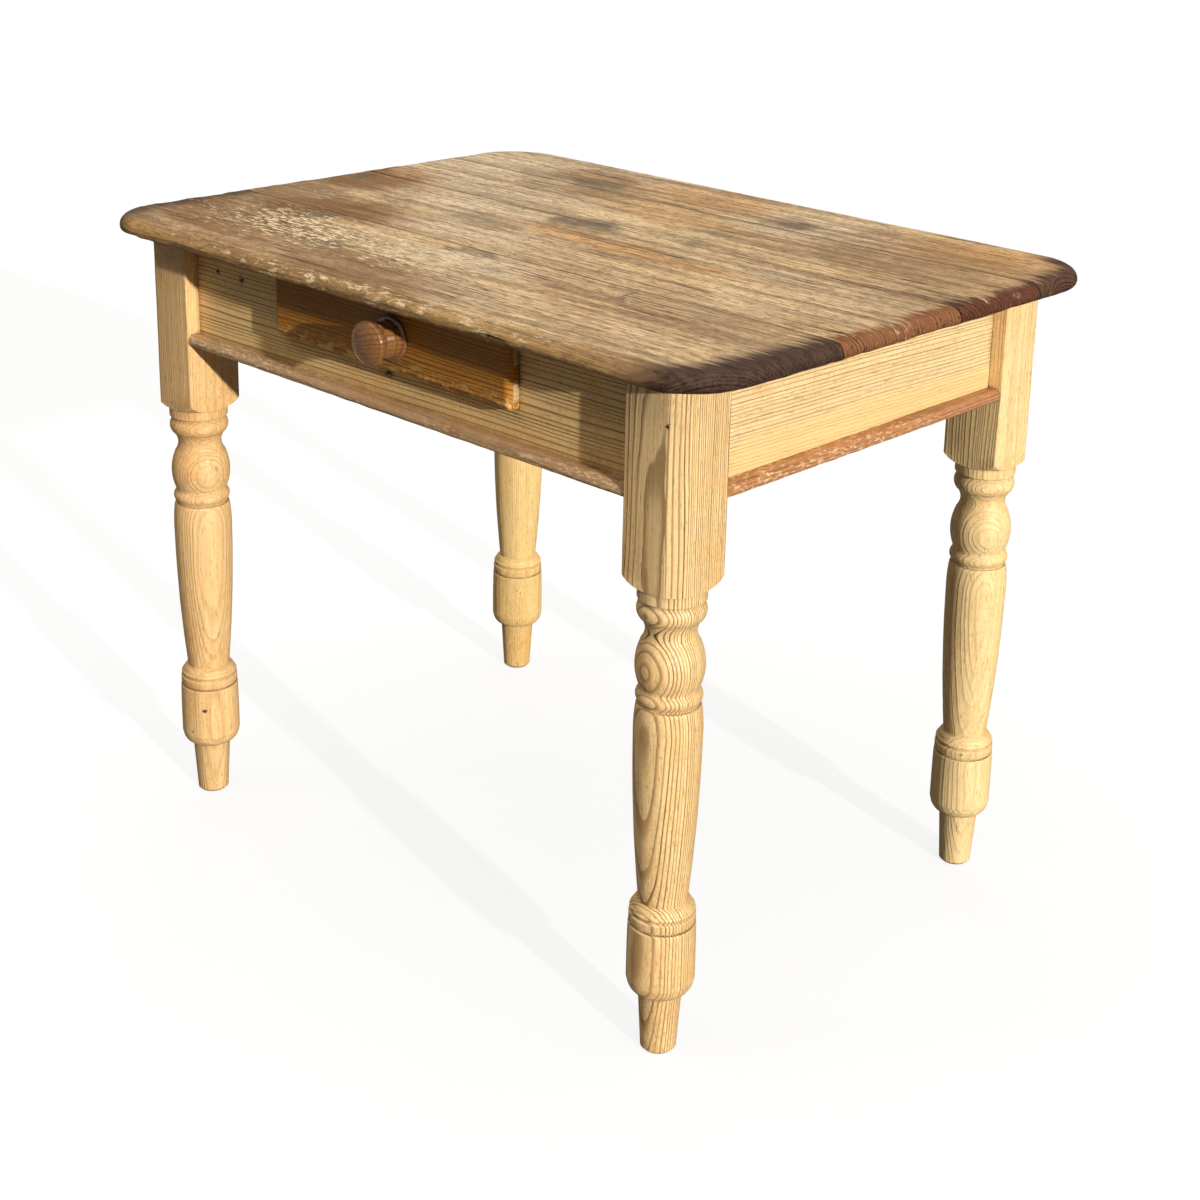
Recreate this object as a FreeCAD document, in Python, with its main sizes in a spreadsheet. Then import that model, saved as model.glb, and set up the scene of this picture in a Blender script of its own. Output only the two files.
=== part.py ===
import FreeCAD, Part
import os
import re
import Sketcher

# Small farmhouse table of solid pine, in millimetres. The origin lies on the floor under
# the middle of the table, X runs along the drawer side, and the drawer opens towards -Y.

SIZES = {
    # Overall
    "table_height": 762,
    "joint_clearance": 0.1,
    # Top, four boards edge to edge
    "top_length": 972,
    "top_width": 704,
    "top_thickness": 20,
    "top_corner_radius": 86,
    "top_upper_round": 12,
    "top_lower_round": 7,
    "end_overhang": 54,
    "side_overhang": 44,
    "front_board_share": 0.308,
    "second_board_share": 0.284,
    "third_board_share": 0.213,
    # Legs, square block above the turned part
    "leg_square": 72,
    "leg_arris": 1.6,
    "corner_chamfer": 9,
    "front_right_chamfer": 15,
    "turning_swing_share": 0.74,
    "turned_groove_height": 2.5,
    "turned_groove_depth": 2.2,
    "foot_tip_radius": 19,
    "foot_tip_chamfer": 2.5,
    "foot_top_radius": 23,
    "foot_height": 68,
    "flare_height": 17,
    "flare_rise": 3,
    "drum_radius": 36,
    "drum_top_radius": 35.4,
    "drum_height": 65,
    "collar_radius": 35,
    "collar_side_height": 11.5,
    "collar_round_height": 13,
    "collar_rise": 1.6,
    "collar_top_radius": 26.6,
    "shaft_foot_radius": 25.8,
    "shaft_swell_radius": 35.4,
    "shaft_swell_height": 184,
    "shaft_swell_rise": 1.9,
    "shaft_shoulder_height": 36,
    "shaft_top_radius": 33.2,
    "ring_height": 15,
    "ball_radius": 35.6,
    "ball_height": 46.5,
    "neck_radius": 26.3,
    "neck_height": 27,
    "bead_ring_seat_radius": 32.6,
    "bead_ring_radius": 35.4,
    "bead_ring_height": 17.5,
    "band_radius": 35.2,
    "band_height": 12.5,
    "shoulder_radius": 36.5,
    "shoulder_height": 17,
    "shoulder_rise": 3.2,
    # Aprons with their tenons
    "apron_depth": 130,
    "apron_thickness": 20,
    "apron_recess": 18,
    "tenon_length": 28,
    "tenon_thickness": 9,
    "tenon_shoulder": 12,
    # Nosing planted along the foot of each apron
    "nosing_height": 13,
    "nosing_depth": 17,
    "nosing_corner": 3.5,
    "nosing_fillet": 2.5,
    "nosing_rise": 2.6,
    "nosing_end_gap": 0.3,
    # Blocks glued under the top
    "glue_block_length": 60,
    "glue_block_side": 26,
    "glue_block_toe_share": 0.4,
    "glue_block_end_distance": 110,
    # Drawer runners, guides and stops
    "runner_width": 42,
    "runner_height": 22,
    "runner_housing": 5,
    "runner_overlap": 18,
    "guide_width": 20,
    "guide_height": 18,
    "guide_gap": 1,
    "stop_length": 24,
    "stop_height": 16,
    "stop_gap": 0.5,
    # Drawer
    "drawer_offset": 2.5,
    "apron_stile": 167,
    "drawer_back_room": 120,
    "drawer_reach": 16,
    "drawer_opening_height": 82,
    "drawer_side_gap": 1,
    "drawer_sliding_gap": 0.5,
    "drawer_head_gap": 2,
    "drawer_front_thickness": 20,
    "drawer_front_lap": 8,
    "drawer_front_round": 7,
    "drawer_side_thickness": 11,
    "drawer_side_drop": 3,
    "drawer_back_thickness": 11,
    "drawer_bottom_thickness": 7,
    "drawer_bottom_rise": 8,
    "drawer_groove": 5,
    "tail_root_share": 0.5,
    "tail_slope_share": 0.1667,
    # Turned knob
    "knob_offset": 13,
    "knob_spigot_radius": 7,
    "knob_base_radius": 25,
    "knob_base_height": 4,
    "knob_base_chamfer": 1.5,
    "knob_neck_foot_radius": 21,
    "knob_neck_radius": 17,
    "knob_neck_height": 16,
    "knob_ring_radius": 20,
    "knob_ring_height": 3,
    "knob_ring_bevel": 1.5,
    "knob_cup_radius": 16.5,
    "knob_cup_height": 6,
    "knob_head_radius": 24.8,
    "knob_rim_height": 6,
    "knob_rim_bevel": 3,
    "knob_dome_radius": 21.5,
    "knob_dome_height": 5,
    # Nails that hold the drawer's bottom to its back
    "nail_radius": 0.9,
    "nail_length": 20,
    "nail_head_radius": 2.4,
    "nail_head_height": 1,
    "nail_spacing_share": 0.3,
}

doc = FreeCAD.newDocument("farmhouse_table")
sheet = doc.addObject("Spreadsheet::Sheet", "Sizes")
for row, (name, size) in enumerate(SIZES.items(), start=1):
    sheet.set(f"A{row}", name)
    sheet.set(f"B{row}", str(size))
    sheet.setAlias(f"B{row}", name)
doc.recompute()

CELL_NAME = re.compile(r"\b[a-z][a-z0-9_]*\b(?!\()")
PIECES = []


# Plain tools for sizes, sketches and features
def bound(text):
    """Turn a sum of cell names into an expression that reads the sheet."""
    return CELL_NAME.sub(lambda match: f"Sizes.{match.group(0)}", text)


def value(text):
    """The present value of a sum of cell names."""
    return float(sheet.evalExpression(bound(text)))


def quarter(radius):
    """How far a quarter circle of this radius rises over its chord."""
    return f"({radius}) * (1 - sqrt(2) / 2)"


def dome(radius, height):
    """How far a cap, level at its crown, rises over the chord from its rim to the crown."""
    ball = f"((({radius})^2 + ({height})^2) / (2 * {height}))"
    return f"{ball} - sqrt({ball}^2 - (({radius})^2 + ({height})^2) / 4)"


def new_body(label, place=("0", "0", "0"), turn=0):
    """A piece of its own, placed by sums of cell names and turned about Z."""
    body = doc.addObject("PartDesign::Body", label)
    body.Label = label
    body.Placement.Rotation = FreeCAD.Rotation(FreeCAD.Vector(0, 0, 1), turn)
    for axis, text in zip("xyz", place):
        body.setExpression(f".Placement.Base.{axis}", bound(text))
    PIECES.append(body)
    return body


def plane_of(body, role):
    return next(item for item in body.Origin.OriginFeatures if item.Role == role)


def attach(feature, body, role, offset):
    """Lay a feature on one of its body's own planes, moved by three sums."""
    feature.AttachmentSupport = [(plane_of(body, role), "")]
    feature.MapMode = "FlatFace"
    for axis, text in zip("xyz", offset):
        feature.setExpression(f".AttachmentOffset.Base.{axis}", bound(text))


def box(body, name, corner, size, cut=False):
    """Add a block to the body or cut one out, from its lowest corner."""
    kind = "PartDesign::SubtractiveBox" if cut else "PartDesign::AdditiveBox"
    feature = body.newObject(kind, name)
    attach(feature, body, "XY_Plane", corner)
    for side, text in zip(("Length", "Width", "Height"), size):
        feature.setExpression(side, bound(text))
    return feature


def draw(body, name, role, loops, offset="0"):
    """A sketch of closed loops. A corner is (x, y) or (x, y, rise), and a rise bends the
    edge that leaves the corner into an arc, to the right of its travel when positive."""
    sketch = body.newObject("Sketcher::SketchObject", name)
    attach(sketch, body, role, ("0", "0", offset))
    edges = []
    rules = []
    for loop in loops:
        first = len(edges)
        for number, corner in enumerate(loop):
            following = loop[(number + 1) % len(loop)]
            start = FreeCAD.Vector(value(corner[0]), value(corner[1]), 0)
            end = FreeCAD.Vector(value(following[0]), value(following[1]), 0)
            edge = len(edges)
            after = first + (number + 1) % len(loop)
            if len(corner) == 2:
                edges.append(Part.LineSegment(start, end))
                ends = (1, 2)
            else:
                rise = value(corner[2])
                along = (end - start).normalize()
                middle = (start + end) * 0.5 + FreeCAD.Vector(along.y, -along.x, 0) * rise
                edges.append(Part.Arc(start, middle, end))
                ends = (2, 1) if rise < 0 else (1, 2)
            rules.append((edge, ends, after, corner, following))
    sketch.addGeometry(edges, False)
    start_of = {edge: ends[0] for edge, ends, after, corner, following in rules}
    for edge, ends, after, corner, following in rules:
        sketch.addConstraint(Sketcher.Constraint("Coincident", edge, ends[1], after, start_of[after]))
        for kind, text in (("DistanceX", corner[0]), ("DistanceY", corner[1])):
            if text == "0":
                line = -2 if kind == "DistanceX" else -1
                sketch.addConstraint(Sketcher.Constraint("PointOnObject", edge, ends[0], line))
                continue
            number = sketch.addConstraint(
                Sketcher.Constraint(kind, -1, 1, edge, ends[0], value(text)))
            sketch.setExpression(f"Constraints[{number}]", bound(text))
        if len(corner) == 3:
            across = f"(({following[0]}) - ({corner[0]}))^2 + (({following[1]}) - ({corner[1]}))^2"
            radius = f"(({across}) / 4 + ({corner[2]})^2) / (2 * abs({corner[2]}))"
            number = sketch.addConstraint(Sketcher.Constraint("Radius", edge, value(radius)))
            sketch.setExpression(f"Constraints[{number}]", bound(radius))
    return sketch


def pad(body, sketch, length):
    feature = body.newObject("PartDesign::Pad", sketch.Name + "_pad")
    feature.Profile = sketch
    feature.setExpression("Length", bound(length))
    return feature


def pocket(body, sketch, length, towards_normal=False):
    feature = body.newObject("PartDesign::Pocket", sketch.Name + "_pocket")
    feature.Profile = sketch
    feature.Reversed = towards_normal
    feature.setExpression("Length", bound(length))
    return feature


def turned(body, sketch, kind):
    """Spin a sketch about its own vertical axis, to add or to cut."""
    feature = body.newObject(kind, sketch.Name + "_turned")
    feature.Profile = sketch
    feature.ReferenceAxis = (sketch, ["V_Axis"])
    feature.Angle = 360
    return feature


def edges_where(feature, test):
    """Names of the feature's edges whose middle passes a test."""
    doc.recompute()
    return [f"Edge{number}" for number, edge in enumerate(feature.Shape.Edges, start=1)
            if test(edge.CenterOfMass)]


# Heights and faces that several pieces share. A spacing is taken between two legs' axes,
# and a face is the outer face of an apron, measured from the middle of the table.
UNDERSIDE = "(table_height - top_thickness)"
APRON_FOOT = f"({UNDERSIDE} - apron_depth)"
LONG_SPACING = "(top_length - 2 * end_overhang - leg_square)"
SHORT_SPACING = "(top_width - 2 * side_overhang - leg_square)"
LONG_FACE = f"({SHORT_SPACING} / 2 + leg_square / 2 - apron_recess)"
SHORT_FACE = f"({LONG_SPACING} / 2 + leg_square / 2 - apron_recess)"
DRAWER_WIDTH = f"({LONG_SPACING} - leg_square - 2 * apron_stile)"
DRAWER_LENGTH = f"(2 * {LONG_FACE} - apron_thickness - drawer_back_room)"


# Legs: a square block left at the head, the rest turned between centres
def turning_outline():
    """The waste that the lathe takes off, from the foot up to the block's shoulders."""
    groove_radius = "(shaft_top_radius - turned_groove_depth)"
    foot = "foot_height"
    drum = foot + " + flare_height"
    drum_top = drum + " + drum_height"
    collar = drum_top + " + turned_groove_height"
    collar_round = collar + " + collar_side_height"
    shaft = collar_round + " + collar_round_height"
    swell = shaft + " + shaft_swell_height"
    shaft_top = swell + " + shaft_shoulder_height"
    ring = shaft_top + " + turned_groove_height"
    ring_top = ring + " + ring_height"
    ball = ring_top + " + turned_groove_height"
    neck = ball + " + ball_height"
    bead_ring = neck + " + neck_height"
    bead_ring_top = bead_ring + " + bead_ring_height"
    band = bead_ring_top + " + turned_groove_height"
    shoulder = band + " + band_height"
    shoulder_top = shoulder + " + shoulder_height"
    swing = "leg_square * turning_swing_share"
    return [
        ("foot_tip_radius - foot_tip_chamfer", "0"),
        ("foot_tip_radius", "foot_tip_chamfer"),
        ("foot_top_radius", foot, "flare_rise"),
        ("drum_radius", drum),
        ("drum_top_radius", drum_top),
        ("drum_top_radius - turned_groove_depth", drum_top),
        ("drum_top_radius - turned_groove_depth", collar),
        ("collar_radius", collar),
        ("collar_radius", collar_round, "collar_rise"),
        ("collar_top_radius", shaft),
        ("shaft_foot_radius", shaft, "shaft_swell_rise"),
        ("shaft_swell_radius", swell),
        ("shaft_top_radius", shaft_top),
        (groove_radius, shaft_top),
        (groove_radius, ring, "turned_groove_depth"),
        (groove_radius, ring_top),
        (groove_radius, ball, f"ball_radius - {groove_radius}"),
        (groove_radius, neck, f"neck_radius - {groove_radius}"),
        (groove_radius, bead_ring),
        ("bead_ring_seat_radius", bead_ring, "bead_ring_radius - bead_ring_seat_radius"),
        ("bead_ring_seat_radius", bead_ring_top),
        ("bead_ring_seat_radius", band),
        ("band_radius", band),
        ("band_radius", shoulder),
        ("shoulder_radius", shoulder, "shoulder_rise"),
        (swing, shoulder_top),
        (swing, "0"),
    ]


def leg(label, side_x, side_y, chamfer="corner_chamfer"):
    """One leg, its outer corner planed off. side_x and side_y are the signs of its place."""
    place = (f"{side_x} * {LONG_SPACING} / 2", f"{side_y} * {SHORT_SPACING} / 2", "0")
    body = new_body(label, place)
    half = "leg_square / 2"
    section = []
    for turn_x, turn_y in ((-1, -1), (1, -1), (1, 1), (-1, 1)):
        arris = chamfer if (turn_x, turn_y) == (side_x, side_y) else "leg_arris"
        along_y = (f"{turn_x} * ({half})", f"{turn_y} * ({half} - {arris})")
        along_x = (f"{turn_x} * ({half} - {arris})", f"{turn_y} * ({half})")
        section += [along_y, along_x] if turn_x == turn_y else [along_x, along_y]
    pad(body, draw(body, label + "_section", "XY_Plane", [section]), UNDERSIDE)
    profile = draw(body, label + "_turning", "XZ_Plane", [turning_outline()])
    turned(body, profile, "PartDesign::Groove")
    width = "tenon_thickness + 2 * joint_clearance"
    depth = "tenon_length + joint_clearance"
    height = "apron_depth - 2 * tenon_shoulder + 2 * joint_clearance"
    foot = f"{APRON_FOOT} + tenon_shoulder - joint_clearance"
    centre = f"({half} - apron_recess - apron_thickness / 2)"
    inner = {1: f"-({half})", -1: f"{half} - ({depth})"}
    outer = {1: f"{centre} - ({width}) / 2", -1: f"-{centre} - ({width}) / 2"}
    box(body, label + "_long_mortise", (inner[side_x], outer[side_y], foot),
        (depth, width, height), cut=True)
    box(body, label + "_short_mortise", (outer[side_x], inner[side_y], foot),
        (width, depth, height), cut=True)


# Aprons: one board a side, tenoned into the legs at both ends
SIDES = {
    "front": (("0", f"-{LONG_FACE}", APRON_FOOT), 0, LONG_SPACING),
    "right": ((SHORT_FACE, "0", APRON_FOOT), 90, SHORT_SPACING),
    "back": (("0", LONG_FACE, APRON_FOOT), 180, LONG_SPACING),
    "left": ((f"-{SHORT_FACE}", "0", APRON_FOOT), 270, SHORT_SPACING),
}
RUNNER_TOP = "(apron_depth - drawer_opening_height)"
RUNNER_INNER = f"({DRAWER_WIDTH} / 2 - runner_overlap)"


def apron(side):
    """In the apron's own frame X runs along it and its outer face looks towards -Y."""
    place, turn, spacing = SIDES[side]
    label = "apron_" + side
    body = new_body(label, place, turn)
    reach = f"({spacing} - leg_square)"
    box(body, label + "_board", (f"-{reach} / 2", "0", "0"),
        (reach, "apron_thickness", "apron_depth"))
    for end, start in (("west", f"-{reach} / 2 - tenon_length"), ("east", f"{reach} / 2")):
        box(body, f"{label}_tenon_{end}",
            (start, "(apron_thickness - tenon_thickness) / 2", "tenon_shoulder"),
            ("tenon_length", "tenon_thickness", "apron_depth - 2 * tenon_shoulder"))
    return body


def front_apron():
    """The drawer's opening is a notch in the upper edge, and the runners are let in."""
    body = apron("front")
    width = f"{DRAWER_WIDTH} + 2 * drawer_side_gap"
    box(body, "drawer_notch", (f"drawer_offset - ({width}) / 2", "0", RUNNER_TOP),
        (width, "apron_thickness", "drawer_opening_height"), cut=True)
    runner_housings(body, "front", "drawer_offset")


def back_apron():
    body = apron("back")
    runner_housings(body, "back", "-drawer_offset")


def runner_housings(body, side, middle):
    """Two blind seats in the inner face of an apron for the ends of the runners."""
    width = "runner_width + 2 * joint_clearance"
    height = "runner_height + joint_clearance"
    starts = {
        "west": f"{middle} - {RUNNER_INNER} - runner_width - joint_clearance",
        "east": f"{middle} + {RUNNER_INNER} - joint_clearance",
    }
    for end, start in starts.items():
        box(body, f"housing_{side}_{end}",
            (start, "apron_thickness - runner_housing", f"{RUNNER_TOP} - ({height})"),
            (width, "runner_housing", height), cut=True)


# Nosings: a half round moulding glued and pinned along the foot of each apron
def nosing(side):
    place, turn, spacing = SIDES[side]
    label = "nosing_" + side
    body = new_body(label, place, turn)
    length = f"({spacing} - leg_square - 2 * nosing_end_gap)"
    outline = [
        ("0", "0"),
        ("0", "nosing_height"),
        ("-nosing_fillet", "nosing_height", "-nosing_rise"),
        ("-nosing_depth", "nosing_corner", f"-{quarter('nosing_corner')}"),
        ("-(nosing_depth - nosing_corner)", "0"),
    ]
    pad(body, draw(body, label + "_outline", "YZ_Plane", [outline], f"-{length} / 2"), length)


# Top: four boards glued edge to edge, with round corners and a rounded edge
def board(label, low, high, front=False, back=False):
    """A board between two seams. front and back tell where it has the rounded corners."""
    body = new_body(label, ("0", "0", UNDERSIDE))
    end = "top_length / 2"
    edge = "top_width / 2"
    corner = "top_corner_radius"
    bend = quarter(corner)
    outline = []
    if front:
        outline += [(f"-({end})", f"-({edge} - {corner})", bend), (f"-({end} - {corner})", f"-({edge})"),
                    (f"{end} - {corner}", f"-({edge})", bend), (end, f"-({edge} - {corner})")]
    else:
        outline += [(f"-({end})", low), (end, low)]
    if back:
        outline += [(end, f"{edge} - {corner}", bend), (f"{end} - {corner}", edge),
                    (f"-({end} - {corner})", edge, bend), (f"-({end})", f"{edge} - {corner}")]
    else:
        outline += [(end, high), (f"-({end})", high)]
    blank = pad(body, draw(body, label + "_outline", "XY_Plane", [outline]), "top_thickness")
    seams = [value(place) for place, free in ((low, front), (high, back)) if not free]

    def on_rim(height):
        """A test for the edges round the rim at this height, leaving the seams out."""
        def test(point):
            near_seam = any(abs(point.y - seam) < value("joint_clearance") for seam in seams)
            return abs(point.z - height) < value("joint_clearance") and not near_seam
        return test

    upper = body.newObject("PartDesign::Fillet", label + "_upper_round")
    upper.Base = (blank, edges_where(blank, on_rim(value("top_thickness"))))
    upper.setExpression("Radius", bound("top_upper_round"))
    lower = body.newObject("PartDesign::Fillet", label + "_lower_round")
    lower.Base = (upper, edges_where(upper, on_rim(0)))
    lower.setExpression("Radius", bound("top_lower_round"))


# Glue blocks: short blocks rubbed into the corner between the top and the aprons
def glue_block(label, side, distance):
    """distance is measured along the apron from its middle to the block's middle."""
    place, turn, spacing = SIDES[side]
    body = new_body(label, place, turn)
    toe = "glue_block_side * glue_block_toe_share"
    inner = "apron_thickness"
    foot = "(apron_depth - glue_block_side)"
    outline = [
        (inner, foot),
        (f"{inner} + {toe}", foot),
        (f"{inner} + glue_block_side", f"apron_depth - {toe}"),
        (f"{inner} + glue_block_side", "apron_depth"),
        (inner, "apron_depth"),
    ]
    start = f"{distance} - glue_block_length / 2"
    pad(body, draw(body, label + "_outline", "YZ_Plane", [outline], start), "glue_block_length")


# Runners, guides and stops: the strips inside that carry the drawer
def strip(label, corner, size):
    piece = doc.addObject("Part::Box", label)
    piece.Label = label
    for side, text in zip(("Length", "Width", "Height"), size):
        piece.setExpression(side, bound(text))
    for axis, text in zip("xyz", corner):
        piece.setExpression(f".Placement.Base.{axis}", bound(text))
    PIECES.append(piece)


def drawer_carriage(side, sign):
    """The runner, guide and stop on one side, mirrored by the sign of X."""
    inner_face = f"({LONG_FACE} - apron_thickness)"
    top = f"({APRON_FOOT} + {RUNNER_TOP})"
    low = f"(drawer_offset + {sign} * {RUNNER_INNER})"
    runner_start = low if sign > 0 else f"{low} - runner_width"
    reach = f"({inner_face} + runner_housing - joint_clearance)"
    strip("runner_" + side, (runner_start, f"-{reach}", f"{top} - runner_height"),
          ("runner_width", f"2 * {reach}", "runner_height"))
    face = f"(drawer_offset + {sign} * ({DRAWER_WIDTH} / 2 + guide_gap))"
    guide_start = face if sign > 0 else f"{face} - guide_width"
    strip("guide_" + side, (guide_start, f"-{inner_face}", top),
          ("guide_width", f"2 * {inner_face}", "guide_height"))
    stop_start = low if sign > 0 else f"{low} - runner_overlap"
    strip("drawer_stop_" + side,
          (stop_start, f"-{LONG_FACE} + {DRAWER_LENGTH} + stop_gap", top),
          ("runner_overlap", "stop_length", "stop_height"))


# Drawer: dovetailed box with a turned knob, all in the drawer's own frame
DRAWER_PLACE = ("drawer_offset", f"-{LONG_FACE} - drawer_reach",
                f"{APRON_FOOT} + {RUNNER_TOP} + drawer_sliding_gap")
FRONT_HEIGHT = "(drawer_opening_height - drawer_sliding_gap - drawer_head_gap)"
SIDE_HEIGHT = f"({FRONT_HEIGHT} - drawer_side_drop)"
BACK_FOOT = "(drawer_bottom_rise + drawer_bottom_thickness + 2 * joint_clearance)"
LAP_TAIL = "(drawer_front_thickness - drawer_front_lap)"
TAILS = 2


def tail_corners(number, foot, height, root, tip, length, play="0"):
    """Four corners of one dovetail in the side's plane, widening from root to tip."""
    pitch = f"({height}) / {TAILS}"
    middle = f"{foot} + {pitch} * ({number} + 1 / 2)"
    narrow = f"({pitch} * tail_root_share / 2 + {play})"
    wide = f"({narrow} + {length} * tail_slope_share)"
    return [
        (root, f"{middle} - {narrow}"),
        (tip, f"{middle} - {wide}"),
        (tip, f"{middle} + {wide}"),
        (root, f"{middle} + {narrow}"),
    ]


def front_tails(play="0"):
    tip = f"(drawer_front_lap - {play})"
    return [tail_corners(number, "0", SIDE_HEIGHT, "drawer_front_thickness", tip, LAP_TAIL, play)
            for number in range(TAILS)]


def back_tails(play="0"):
    root = f"({DRAWER_LENGTH} - drawer_back_thickness)"
    height = f"({SIDE_HEIGHT} - {BACK_FOOT})"
    return [tail_corners(number, BACK_FOOT, height, root, DRAWER_LENGTH,
                         "drawer_back_thickness", play) for number in range(TAILS)]


def drawer_side(side, sign):
    """A side board with lapped tails in front, through tails behind and a groove."""
    label = "drawer_side_" + side
    body = new_body(label, DRAWER_PLACE)
    root = f"{DRAWER_LENGTH} - drawer_back_thickness"
    outline = [("drawer_front_thickness", "0"), (DRAWER_LENGTH, "0"),
               (DRAWER_LENGTH, BACK_FOOT), (root, BACK_FOOT)]
    for corners in back_tails():
        outline += corners
    outline += [(root, SIDE_HEIGHT), ("drawer_front_thickness", SIDE_HEIGHT)]
    for corners in reversed(front_tails()):
        outline += reversed(corners)
    inner = f"({DRAWER_WIDTH} / 2 - drawer_side_thickness)"
    start = inner if sign > 0 else f"-{DRAWER_WIDTH} / 2"
    pad(body, draw(body, label + "_outline", "YZ_Plane", [outline], start), "drawer_side_thickness")
    groove_start = inner if sign > 0 else f"-{inner} - drawer_groove"
    box(body, label + "_groove",
        (groove_start, "drawer_front_lap", "drawer_bottom_rise - joint_clearance"),
        ("drawer_groove", DRAWER_LENGTH,
         "drawer_bottom_thickness + 2 * joint_clearance"), cut=True)


def dovetail_sockets(body, name, tails):
    """Cut the sockets for both sides' tails from the ends of a board."""
    for end, place, reverse in (("west", f"-{DRAWER_WIDTH} / 2", True),
                                ("east", f"{DRAWER_WIDTH} / 2", False)):
        sketch = draw(body, f"{name}_{end}", "YZ_Plane", tails, place)
        pocket(body, sketch, "drawer_side_thickness + joint_clearance", reverse)


def drawer_front():
    body = new_body("drawer_front", DRAWER_PLACE)
    blank = box(body, "drawer_front_board", (f"-{DRAWER_WIDTH} / 2", "0", "0"),
                (DRAWER_WIDTH, "drawer_front_thickness", FRONT_HEIGHT))

    def worn_edge(point):
        """A test for the edges of the outer face, leaving the upper one sharp."""
        below_top = point.z < value(f"{FRONT_HEIGHT} - joint_clearance")
        return abs(point.y) < value("joint_clearance") and below_top

    rounding = body.newObject("PartDesign::Fillet", "drawer_front_rounding")
    rounding.Base = (blank, edges_where(blank, worn_edge))
    rounding.setExpression("Radius", bound("drawer_front_round"))
    dovetail_sockets(body, "lapped_sockets", front_tails("joint_clearance"))
    half = f"({DRAWER_WIDTH} / 2 - drawer_side_thickness + drawer_groove)"
    box(body, "drawer_front_groove",
        (f"-{half}", "drawer_front_thickness - drawer_groove", "drawer_bottom_rise - joint_clearance"),
        (f"2 * {half}", "drawer_groove", "drawer_bottom_thickness + 2 * joint_clearance"), cut=True)
    centre = f"{FRONT_HEIGHT} / 2"
    radius = "(knob_spigot_radius + joint_clearance)"
    hole = draw_circle(body, "knob_hole", "XZ_Plane", "knob_offset", centre, radius)
    pocket(body, hole, "drawer_front_thickness", False)


def draw_circle(body, name, role, x, y, radius, offset="0"):
    sketch = body.newObject("Sketcher::SketchObject", name)
    attach(sketch, body, role, ("0", "0", offset))
    centre = FreeCAD.Vector(value(x), value(y), 0)
    sketch.addGeometry(Part.Circle(centre, FreeCAD.Vector(0, 0, 1), value(radius)), False)
    for kind, text in (("DistanceX", x), ("DistanceY", y)):
        if text == "0":
            line = -2 if kind == "DistanceX" else -1
            sketch.addConstraint(Sketcher.Constraint("PointOnObject", 0, 3, line))
            continue
        number = sketch.addConstraint(Sketcher.Constraint(kind, -1, 1, 0, 3, value(text)))
        sketch.setExpression(f"Constraints[{number}]", bound(text))
    number = sketch.addConstraint(Sketcher.Constraint("Radius", 0, value(radius)))
    sketch.setExpression(f"Constraints[{number}]", bound(radius))
    return sketch


NAIL_PLACES = ("-1", "0", "1")
NAIL_LINE = f"({DRAWER_LENGTH} - drawer_back_thickness / 2)"


def nail_x(number):
    return f"{number} * {DRAWER_WIDTH} * nail_spacing_share"


def nail_holes(body, name, foot, depth):
    for count, number in enumerate(NAIL_PLACES):
        sketch = draw_circle(body, f"{name}_{count}", "XY_Plane",
                             "0" if number == "0" else nail_x(number), NAIL_LINE,
                             "(nail_radius + joint_clearance)", foot)
        pocket(body, sketch, depth, True)


def drawer_back():
    body = new_body("drawer_back", DRAWER_PLACE)
    box(body, "drawer_back_board",
        (f"-{DRAWER_WIDTH} / 2", f"{DRAWER_LENGTH} - drawer_back_thickness", BACK_FOOT),
        (DRAWER_WIDTH, "drawer_back_thickness", f"{SIDE_HEIGHT} - {BACK_FOOT}"))
    dovetail_sockets(body, "through_sockets", back_tails("joint_clearance"))
    depth = f"(drawer_bottom_rise + nail_length + joint_clearance - {BACK_FOOT})"
    nail_holes(body, "back_nail_hole", BACK_FOOT, depth)


def drawer_bottom():
    """A thin board, slid into the grooves from behind and nailed up to the back."""
    body = new_body("drawer_bottom", DRAWER_PLACE)
    half = f"({DRAWER_WIDTH} / 2 - drawer_side_thickness + drawer_groove - joint_clearance)"
    start = "(drawer_front_thickness - drawer_groove + joint_clearance)"
    box(body, "drawer_bottom_board", (f"-{half}", start, "drawer_bottom_rise"),
        (f"2 * {half}", f"{DRAWER_LENGTH} - {start}", "drawer_bottom_thickness"))
    nail_holes(body, "bottom_nail_hole", "drawer_bottom_rise", "drawer_bottom_thickness")


def drawer_nails():
    """Three round nails with flat heads under the drawer's bottom."""
    nails = []
    for count, number in enumerate(NAIL_PLACES):
        parts = []
        for kind, radius, low, height in (
                ("shank", "nail_radius", "drawer_bottom_rise", "nail_length"),
                ("head", "nail_head_radius", "drawer_bottom_rise - nail_head_height",
                 "nail_head_height")):
            part = doc.addObject("Part::Cylinder", f"nail_{kind}_{count}")
            part.setExpression("Radius", bound(radius))
            part.setExpression("Height", bound(height))
            offset = (nail_x(number), NAIL_LINE, low)
            for axis, text, base in zip("xyz", offset, DRAWER_PLACE):
                part.setExpression(f".Placement.Base.{axis}", bound(f"{base} + {text}"))
            parts.append(part)
        nail = doc.addObject("Part::MultiFuse", f"nail_{count}")
        nail.Shapes = parts
        nails.append(nail)
    group = doc.addObject("Part::Compound", "drawer_bottom_nails")
    group.Label = "drawer_bottom_nails"
    group.Links = nails
    PIECES.append(group)


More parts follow.
